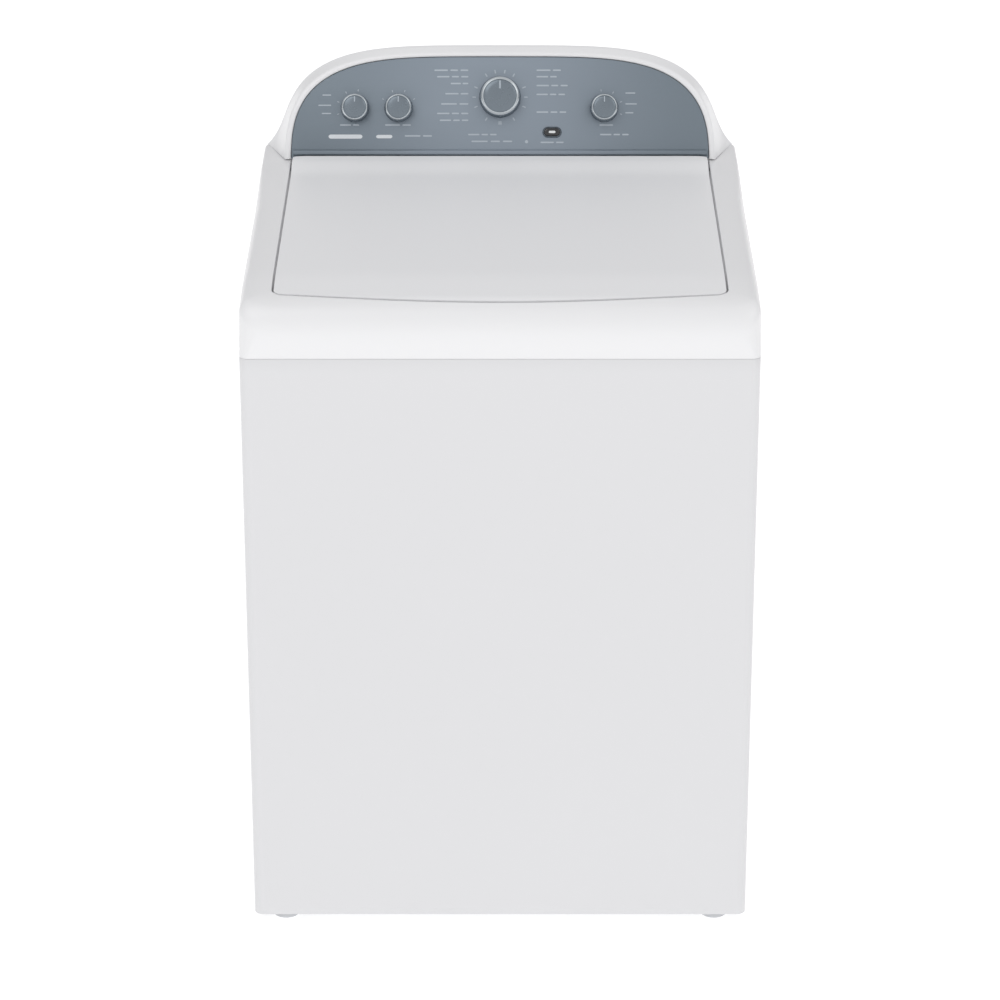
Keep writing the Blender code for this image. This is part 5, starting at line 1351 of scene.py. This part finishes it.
def suspension(looks):
    """At each corner a rod with a ball head and a spring cup, and the coil spring that holds the tub."""
    rod = [(0, 0.2125), (0.0040, 0.2125), (0.0040, 0.8403), (0.0088, 0.8403), (0.0090, 0.8440),
           (0.0080, 0.8480), (0.0052, 0.8508), (0, 0.8520)]
    cup = [(0, 0.2000), (0.0165, 0.2000), (0.0192, 0.2040), (0.0200, 0.2145), (0.0186, 0.2145),
           (0.0180, 0.2122), (0, 0.2122)]
    for place, side_x, side_y in CORNERS:
        x, y = side_x * ROD_X, TUB_Y + side_y * ROD_DY
        node = "suspension_rod_" + place
        stand_in(node + "_bar", turned(rod, 32, (x, y), 0.0006), looks["plated"], node, 50)
        extra(node + "_cup", turned(cup, 48, (x, y), 0.0008), looks["dark"], node)
        spring = "suspension_spring_" + place
        low, high = ROD_CUP_Z[1] + 0.0028, LUG_Z[0] - 0.0028
        turns, per_turn = 5.0, 26
        count = int(turns * per_turn)
        points = []
        for step in range(count + 1):
            share = step / count
            rise = min(max((share - 0.12) / 0.76, 0.0), 1.0)
            angle = 2 * math.pi * turns * share
            points.append(Vector((x + 0.0140 * math.cos(angle), y + 0.0140 * math.sin(angle),
                                  low + (high - low) * rise)))
        made = stand_in(spring + "_coil", tube_along(points, 0.0022, 10), looks["spring"], spring, 60,
                        loose=True)
        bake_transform(made)


# ---------------------------------------------------------------- tub and what hangs under it


def outer_tub(looks):
    """The moulded tub with hoops, ribs, clips and a braced lug out to each rod."""
    centre = (0, TUB_Y)
    inner = TUB_R - 0.004
    shell = [(0.031, 0.1950), (0.190, 0.2030), (0.266, 0.2130), (TUB_R, 0.2350), (TUB_R, 0.7540),
             (0.2945, 0.7540), (0.2945, TUB_TOP_Z), (inner, TUB_TOP_Z), (inner, 0.2370),
             (0.264, 0.2170), (0.190, 0.2070), (0.040, 0.2000), (0.038, 0.2300), (0.031, 0.2300)]
    parts = [turned(shell, 128, centre, 0.0030)]
    for z in (0.330, 0.470, 0.610, 0.725):
        hoop = [(TUB_R - 0.001, z - 0.0025), (TUB_R + 0.0042, z - 0.0015), (TUB_R + 0.0042, z + 0.0015),
                (TUB_R - 0.001, z + 0.0025)]
        parts.append(turned(hoop, 128, centre, 0.0006))
    parts += around(24, centre, lambda: block((TUB_R - 0.001, -0.0016, 0.2420),
                                              (TUB_R + 0.0036, 0.0016, 0.7530),
                                              0.0008), 0.5)
    parts += around(24, centre, lambda: block((0.128, -0.0014, 0.1880), (0.250, 0.0014, 0.2060), 0.0008),
                    0.5)
    reach = math.hypot(ROD_X, ROD_DY)
    for _, side_x, side_y in CORNERS:
        angle = math.atan2(side_y * ROD_DY, side_x * ROD_X)
        place = Matrix.Translation((0, TUB_Y, 0)) @ Matrix.Rotation(angle, 4, "Z")
        low, high = LUG_Z
        lug = [block((TUB_R - 0.004, side * 0.0222 - 0.0018, low), (reach, side * 0.0222 + 0.0018, high),
                     0.0008)
               for side in (-1, 1)]
        lug.append(block((TUB_R - 0.004, -0.0210, low + 0.0050), (reach - 0.012, 0.0210, low + 0.0080),
                         0.0006))
        lug.append(block((TUB_R - 0.003, -0.0016, high - 0.0010), (TUB_R + 0.040, 0.0016, high + 0.0250),
                         0.0006))
        lug.append(turned([(0.0056, low), (0.0056, high), (0.0240, high), (0.0240, low)], 48, (reach, 0),
                          0.0010))
        parts.append(moved(gather(*lug), place))
    stand_in("tub_shell", gather(*parts), looks["tub"], "outer_tub", 42)

    low = TUB_TOP_Z + 0.0003
    ring = [(0.2945, low), (0.2945, 0.7740), (0.2700, 0.7900), (0.2450, 0.8000), (0.2320, 0.7960),
            (0.2320, 0.7915), (0.2450, 0.7960), (0.2680, 0.7860), (0.2890, 0.7720), (0.2890, low)]
    stand_in("splash_ring", turned(ring, 128, centre, 0.0022), looks["white"], "tub_ring", 42)
    clips = around(10, centre, lambda: block((0.2925, -0.009, 0.7520), (0.2972, 0.009, 0.7690), 0.0012))
    extra("ring_clips", gather(*clips), looks["grey"], "tub_ring")


def spindle(looks):
    """Bearings, seal, gearcase, shafts and the two pulleys with their belt."""
    centre = (0, TUB_Y)
    inner, outer = 0.0153, 0.0305
    for node, low, high, look in (("upper_bearing", 0.1985, 0.2140, "stainless"),
                                  ("lower_bearing", 0.1560, 0.1680, "stainless"),
                                  ("tub_seal", 0.2143, 0.2280, "rubber")):
        race = [(inner, low), (inner, high), (0.0195, high), (0.0200, high - 0.0010),
                (0.0255, high - 0.0010),
                (0.0260, high), (outer, high), (outer, low), (0.0260, low), (0.0255, low + 0.0010),
                (0.0200, low + 0.0010), (0.0195, low)]
        stand_in(node + "_ring", turned(race, 64, centre, 0.0004), looks[look], node)

    case = [(0.060, 0.1050), (0.078, 0.1180), (0.078, 0.1800), (0.115, 0.1850), (0.115, 0.1915),
            (0.0311, 0.1915), (0.0311, 0.1530), (0.050, 0.1450), (0.050, 0.1200),
            (SHAFT_R + 0.0003, 0.1150), (SHAFT_R + 0.0003, 0.1050)]
    parts = [turned(case, 96, centre, 0.0028)]
    parts += around(12, centre, lambda: block((0.0770, -0.0016, 0.1200), (0.0815, 0.0016, 0.1815), 0.0008))
    parts.append(turned([(0.0775, 0.1480), (0.0805, 0.1490), (0.0805, 0.1520), (0.0775, 0.1530)], 96,
                        centre, 0.0005))
    stand_in("gearcase_casting", gather(*parts), looks["cast"], "gearcase")
    bolts = around(8, centre, lambda: hex_bolt((0.1050, 0.0, 0.1848)), 0.5)
    extra("gearcase_bolts", gather(*bolts), looks["plated"], "gearcase")

    tube = [(0.0150, 0.1540), (0.0150, 0.2583), (0.0260, 0.2583), (0.0260, 0.2625), (0.0088, 0.2625),
            (0.0088, 0.1540)]
    stand_in("basket_tube", turned(tube, 64, centre, 0.0006), looks["stainless"], "spin_tube")
    stand_in("agitator_shaft", turned([(0, 0.1290), (SHAFT_R, 0.1290), (SHAFT_R, 0.3095), (0, 0.3095)], 48,
                                      centre, 0.0008), looks["stainless"], "drive_shaft")

    band_low, band_high, pulley_r = 0.0805, 0.0915, 0.085
    wheel = [(0, 0.0780), (0.030, 0.0780), (0.030, 0.0835), (0.070, 0.0835), (0.070, 0.0780),
             (0.0885, 0.0780),
             (pulley_r, band_low), (pulley_r, band_high), (0.0885, 0.0940), (0.070, 0.0940),
             (0.070, 0.0885),
             (0.030, 0.0885), (0.030, 0.0980), (SHAFT_R, 0.0980), (SHAFT_R, 0.1280), (0, 0.1280)]
    parts = [turned(wheel, 128, centre, 0.0010)]
    parts += around(9, centre, lambda: block((0.0285, -0.0018, 0.0792), (0.0715, 0.0018, 0.0840), 0.0009))
    stand_in("drive_wheel", gather(*parts), looks["cast"], "drive_pulley")
    extra("drive_wheel_bolt", hex_bolt((0.0, TUB_Y, 0.0781), 0.0080, 0.0060), looks["plated"],
          "drive_pulley")
    small = [(0, 0.0780), (0.0285, 0.0780), (0.025, band_low), (0.025, band_high), (0.0285, 0.0940),
             (0.0062, 0.0940), (0.0062, 0.1285), (0, 0.1285)]
    stand_in("motor_wheel", turned(small, 64, (MOTOR.x, TUB_Y), 0.0006), looks["plated"], "motor_pulley")

    large, little = pulley_r + 0.0003, 0.0253
    lean = math.acos((large - little) / MOTOR.x)

    def track(offset):
        points = []
        for radius, start_x, start, end, steps in ((large, 0.0, lean, 2 * math.pi - lean, 96),
                                                   (little, MOTOR.x, -lean, lean, 36)):
            for step in range(steps + 1):
                angle = start + (end - start) * step / steps
                points.append((start_x + (radius + offset) * math.cos(angle),
                               TUB_Y + (radius + offset) * math.sin(angle)))
        return points

    low, high = band_low + 0.0008, band_high - 0.0008
    section = [(0.0032, low), (0.0035, low + 0.0006), (0.0035, high - 0.0006), (0.0032, high),
               (0.0006, high)]
    grooves = 4
    for step in range(grooves):
        z = high - (high - low) * (step + 0.5) / grooves
        section += [(0.0002, z + 0.0007), (0.0012, z), (0.0002, z - 0.0007)]
    section.append((0.0006, low))
    rings = [[(x, y, z) for x, y in track(offset)] for offset, z in section]
    stand_in("ribbed_belt", loft(rings, closed=True), looks["rubber"], "drive_belt", 30)


def machinery(looks):
    """Motor with its stator stack and end bells, capacitor in its strap, and the drain pump."""
    centre = (MOTOR.x, TUB_Y)
    upper = [(0, 0.1780), (0.046, 0.1780), (0.058, 0.1710), (0.0605, 0.1600), (0, 0.1600)]
    lower = [(0.0068, 0.1020), (0.048, 0.1020), (0.058, 0.1100), (0.0605, 0.1210), (0.0068, 0.1210)]
    bells = [turned(upper, 80, centre, 0.0020), turned(lower, 80, centre, 0.0020)]
    bells += [bar((MOTOR.x, TUB_Y + side * 0.038, 0.170), (MOTOR.x, TUB_Y + side * 0.038, 0.2005), 0.009,
                  32, 0.0008)
              for side in (-1, 1)]
    bells += around(10, centre, lambda: block((0.0300, -0.0016, 0.1765), (0.0470, 0.0016, 0.1790), 0.0006))
    stand_in("motor_bells", gather(*bells), looks["cast"], "motor")
    stack = [(0.0, 0.1195), (0.0595, 0.1195)]
    for step in range(20):
        z = 0.1200 + 0.0020 * step
        stack += [(0.0620, z), (0.0620, z + 0.0013), (0.0612, z + 0.0016)]
    stack += [(0.0595, 0.1610), (0.0, 0.1610)]
    extra("motor_stack", turned(stack, 80, centre), looks["iron"], "motor", 30)
    bolts = []
    for step in range(4):
        angle = math.pi / 4 + math.pi / 2 * step
        x, y = MOTOR.x + 0.0540 * math.cos(angle), TUB_Y + 0.0540 * math.sin(angle)
        bolts.append(bar((x, y, 0.1060), (x, y, 0.1745), 0.0022, 16, 0.0004))
        bolts.append(hex_bolt((x, y, 0.1065), 0.0042, 0.0034))
    extra("motor_bolts", gather(*bolts), looks["plated"], "motor")
    windings = turned([(0.0400, 0.1030), (0.0420, 0.1010), (0.0460, 0.1014), (0.0470, 0.1035),
                       (0.0440, 0.1045)],
                      64, centre, 0.0010)
    extra("motor_windings", windings, looks["copper"], "motor")
    plug = block((MOTOR.x + 0.0590, TUB_Y - 0.0130, 0.1300), (MOTOR.x + 0.0690, TUB_Y + 0.0130, 0.1480),
                 0.0012)
    extra("motor_plug", plug, looks["white"], "motor")

    x, y = 0.070, 0.150
    can = turned([(0, 0.1262), (0.0165, 0.1262), (0.0175, 0.1250), (0.0192, 0.1256), (0.0200, 0.1285),
                  (0.0200, 0.1900), (0.0186, 0.1945), (0, 0.1950)], 56, (x, y), 0.0008)
    stand_in("capacitor_can", can, looks["plated"], "capacitor")
    strap = [turned([(0.0199, 0.1560), (0.0199, 0.1660), (0.0210, 0.1660), (0.0210, 0.1560)], 56, (x, y),
                    0.0003),
             block((x - 0.0340, y - 0.0060, 0.1560), (x - 0.0195, y + 0.0060, 0.1572), 0.0004),
             block((x - 0.0345, y - 0.0060, 0.1560), (x - 0.0333, y + 0.0060, 0.2030), 0.0004)]
    extra("capacitor_strap", gather(*strap), looks["zinc"], "capacitor")
    tabs = [block((x + side * 0.006 - 0.0004, y - 0.0030, 0.1170),
                  (x + side * 0.006 + 0.0004, y + 0.0030, 0.1268),
                  0.0002) for side in (-1, 1)]
    extra("capacitor_tabs", gather(*tabs), looks["brass"], "capacitor")

    centre = (PUMP.x, PUMP.y)
    volute = [(0, 0.1700), (0.0340, 0.1700), (0.0340, 0.1520), (0.045, 0.1500), (0.045, 0.1100),
              (0.014, 0.1100),
              (0.014, 0.1140), (0.037, 0.1140), (0.037, 0.1360), (0.0050, 0.1360), (0.0050, 0.1500),
              (0, 0.1500)]
    parts = [turned(volute, 80, centre, 0.0014)]
    parts += around(8, centre, lambda: block((0.0335, -0.0014, 0.1500), (0.0430, 0.0014, 0.1600), 0.0007))
    spigot_x = PUMP.x - 0.030
    parts.append(bar((spigot_x, PUMP.y + 0.031, 0.126), (spigot_x, PUMP.y + 0.075, 0.126), 0.0095, 40,
                     0.0010))
    stand_in("pump_volute", gather(*parts), looks["grey"], "drain_pump")
    coil = [(0, 0.1695), (0.0300, 0.1695)]
    for step in range(8):
        z = 0.1705 + 0.0030 * step
        coil += [(0.0300, z), (0.0300, z + 0.0020), (0.0288, z + 0.0025)]
    coil += [(0.0270, 0.1960), (0, 0.1960)]
    extra("pump_motor", turned(coil, 64, centre), looks["iron"], "drain_pump", 30)
    screws = around(6, centre, lambda: hex_bolt((0.0405, 0.0, 0.1102), 0.0030, 0.0030), 0.5)
    extra("pump_screws", gather(*screws), looks["plated"], "drain_pump")
    soften("pump_impeller", 0.0005, looks["dark"])


def drain_hose(looks):
    """The ribbed hose inside the cabinet, on no body, and its two clamps, one riding on the tub."""
    start = Vector((PUMP.x - 0.030, PUMP.y + 0.0760, 0.126))
    end_x, end_z = DRAIN_OUTLET
    route = [start, start + Vector((-0.002, 0.080, 0.0)), (-0.205, 0.130, 0.110), (-0.232, 0.240, 0.105),
             (-0.236, 0.288, 0.170), (-0.232, 0.292, 0.300), (-0.236, 0.288, 0.560), (end_x, 0.270, 0.700),
             (end_x, 0.262, 0.765), (end_x, 0.276, 0.803), (end_x, 0.295, end_z), (end_x, 0.3145, end_z)]
    points = smooth_route(route, 44)
    ridges = 120

    def ribbed(share):
        plain = share < 0.03 or share > 0.97
        return 0.0102 if plain else 0.0099 + 0.0006 * math.cos(2 * math.pi * ridges * share)

    hose = stand_in("inner_drain_hose", tube_along(points, ribbed, 18), looks["hose"], "drain_hose", 60,
                    loose=True)
    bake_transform(hose)
    backwards = Matrix.Rotation(-math.pi / 2, 4, "X")
    for name, body, place in (("hose_clamp_pump", "tub", start + Vector((0, 0.006, 0))),
                              ("hose_clamp_outlet", "cabinet", Vector((end_x, 0.3090, end_z)))):
        ring = turned([(0.0103, -0.0035), (0.0103, 0.0035), (0.0116, 0.0035), (0.0116, -0.0035)], 48,
                      radius=0.0003)
        screw = block((-0.0050, 0.0105, -0.0040), (0.0050, 0.0150, 0.0040), 0.0008)
        clamp = moved(gather(ring, screw), Matrix.Translation(place) @ backwards)
        made = finish_mesh(name, clamp, looks["plated"], body)


# ---------------------------------------------------------------- basket and agitator


def perforated(radius, low, high, columns, rows, hole):
    """An upright sheet wall about the tub's line, with a round hole in every other cell."""
    bm = bmesh.new()
    tall = (high - low) / rows
    wide = 2 * math.pi / columns

    def point(angle, z):
        return (radius * math.cos(angle), TUB_Y + radius * math.sin(angle), z)

    grid = [[bm.verts.new(point(wide * column, low + tall * row)) for column in range(columns)]
            for row in range(rows + 1)]
    for row in range(rows):
        for column in range(columns):
            after = (column + 1) % columns
            corners = [grid[row][column], grid[row][after], grid[row + 1][after], grid[row + 1][column]]
            if (row + column) % 2 or row in (0, rows - 1):
                bm.faces.new(corners)
                continue
            middle_angle, middle_z = wide * (column + 0.5), low + tall * (row + 0.5)
            rim = []
            for step in range(8):
                turn = math.radians(225 + 45 * step)
                rim.append(bm.verts.new(point(middle_angle + hole * math.cos(turn) / radius,
                                              middle_z + hole * math.sin(turn))))
            for number in range(4):
                bm.faces.new((corners[number], corners[(number + 1) % 4], rim[(2 * number + 2) % 8],
                              rim[2 * number + 1], rim[2 * number]))
    return bm


def basket(looks):
    """The stainless basket with its rows of holes and beads, the base dish and the balance ring."""
    centre = (0, TUB_Y)
    inner = BASKET_R - 0.0015
    wall = stand_in("basket_wall", perforated(BASKET_R, 0.2740, 0.6940, 96, 20, 0.0040), looks["stainless"],
                    "wash_basket", 60)
    sheet = wall.modifiers.new("sheet", "SOLIDIFY")
    sheet.thickness = 0.0015
    sheet.offset = -1
    dish = [(0.0153, 0.2360), (0.050, 0.2360), (0.250, 0.2400), (0.2620, 0.2435), (0.2672, 0.2510),
            (BASKET_R, 0.2600), (BASKET_R, 0.2745), (inner, 0.2745), (inner, 0.2605), (0.2656, 0.2525),
            (0.2610, 0.2452), (0.249, 0.2415), (0.050, 0.2375), (0.030, 0.2375), (0.030, 0.2580),
            (0.0153, 0.2580)]
    band = [(inner, 0.6935), (inner, 0.7000), (BASKET_R, 0.7000), (BASKET_R + 0.0008, 0.6975),
            (BASKET_R, 0.6935)]
    parts = [turned(dish, 128, centre, 0.0008), turned(band, 128, centre)]
    for z in (0.2790, 0.6880):
        parts.append(turned([(inner + 0.0004, z - 0.0030), (inner - 0.0016, z - 0.0012),
                             (inner - 0.0016, z + 0.0012),
                             (inner + 0.0004, z + 0.0030)], 128, centre, 0.0008))

    def bead():
        rib = turned([(0, 0.0), (0.0050, 0.008), (0.0060, 0.020), (0.0060, 0.350), (0.0050, 0.362),
                      (0, 0.370)], 16)
        squash = Matrix.Diagonal((0.42, 1.0, 1.0, 1.0))
        return moved(rib, Matrix.Translation((inner + 0.0004, 0, 0.298)) @ squash)

    parts += around(8, centre, bead, 0.5)
    extra("basket_dish", gather(*parts), looks["stainless"], "wash_basket", 40)

    low, high = 0.7003, 0.7480
    ring = [(BASKET_R, low), (BASKET_R, high - 0.010), (0.2600, high), (0.2460, high),
            (0.2370, high - 0.012),
            (0.2370, low)]
    parts = [turned(ring, 128, centre, 0.0030)]
    parts += around(24, centre, lambda: block((0.2480, -0.0010, high - 0.0012),
                                              (0.2585, 0.0010, high + 0.0010), 0.0004))
    stand_in("balance_hoop", gather(*parts), looks["white"], "balance_ring", 42)


def agitator(looks):
    """The agitator's flared skirt and post, four vanes, low ridges between them, and the cap."""
    centre = (0, TUB_Y)
    post = [(0.205, 0.2465), (0.205, 0.2520), (0.150, 0.2620), (0.092, 0.2860), (0.062, 0.3350),
            (0.052, 0.4200), (0.046, 0.6000), (0.043, 0.6120), (0.0360, 0.6120), (0.0390, 0.5900),
            (0.0440, 0.4200), (0.0480, 0.3300), (0.0440, 0.3100), (SHAFT_R + 0.0003, 0.3100),
            (SHAFT_R + 0.0003, 0.2850), (0.0550, 0.2850), (0.0850, 0.2720), (0.150, 0.2565),
            (0.199, 0.2465)]
    fin = [(0.198, 0.2500), (0.199, 0.2740), (0.150, 0.2980), (0.102, 0.3450), (0.082, 0.4200),
           (0.076, 0.5650), (0.060, 0.5850), (0.0430, 0.5850), (0.0480, 0.4200), (0.0560, 0.3350),
           (0.0880, 0.2800), (0.150, 0.2593)]
    fin = rounded_profile(fin, 0.0180, 5)
    parts = [turned(post, 112, centre, 0.0120)]
    parts += around(4, centre, lambda: prism(fin, -0.0034, 0.0034, 0.0016, "Y"), 0.43)

    def swelling(share):
        return 0.0034 * math.sin(math.pi * min(max(share, 0.06), 0.94)) ** 0.5

    def ridge():
        points = smooth_route([(0.196, 0, 0.2530), (0.150, 0, 0.2625), (0.115, 0, 0.2755),
                               (0.090, 0, 0.2880)], 6)
        return tube_along(points, swelling, 12)

    for quarter in range(4):
        for share in (0.22, 0.36, 0.50, 0.64, 0.78):
            angle = math.pi / 2 * (quarter + 0.43 + share)
            turn = Matrix.Translation((0, TUB_Y, 0)) @ Matrix.Rotation(angle, 4, "Z")
            parts.append(moved(ridge(), turn))
    for z in (0.360, 0.590):
        parts.append(turned([(0.0465, z - 0.004), (0.0585 if z < 0.5 else 0.0485, z), (0.0465, z + 0.004)],
                            96, centre,
                            0.0008))
    stand_in("agitator_post", gather(*parts), looks["white"], "agitator", 42)

    cap = [(0, 0.5980), (0.0352, 0.5980), (0.0352, 0.6124), (0.0450, 0.6124), (0.0450, 0.6240),
           (0.0360, 0.6360), (0.0180, 0.6400), (0, 0.6400)]
    parts = [turned(cap, 96, centre, 0.0024)]
    parts += around(24, centre, lambda: block((0.0440, -0.0012, 0.6135), (0.0460, 0.0012, 0.6225), 0.0005))
    stand_in("agitator_lid", gather(*parts), looks["grey"], "agitator_cap")


def main():
    stage()
    looks = make_looks()
    cabinet(looks)
    base(looks)
    foot_pieces(looks)
    deck(looks)
    lid_outer(looks)
    lid_inner(looks)
    console_housing(looks)
    console_panel(looks)
    panel_marks(looks)
    for name in ("temperature_knob", "water_level_knob", "rinse_knob"):
        knob(name, SMALL_KNOB_R, SMALL_KNOB_OUT, looks)
    knob("cycle_knob", LARGE_KNOB_R, LARGE_KNOB_OUT, looks)
    start_button(looks)
    rear_panel(looks)
    braces(looks)
    console_inside(looks)
    suspension(looks)
    outer_tub(looks)
    spindle(looks)
    machinery(looks)
    drain_hose(looks)
    basket(looks)
    agitator(looks)


main()
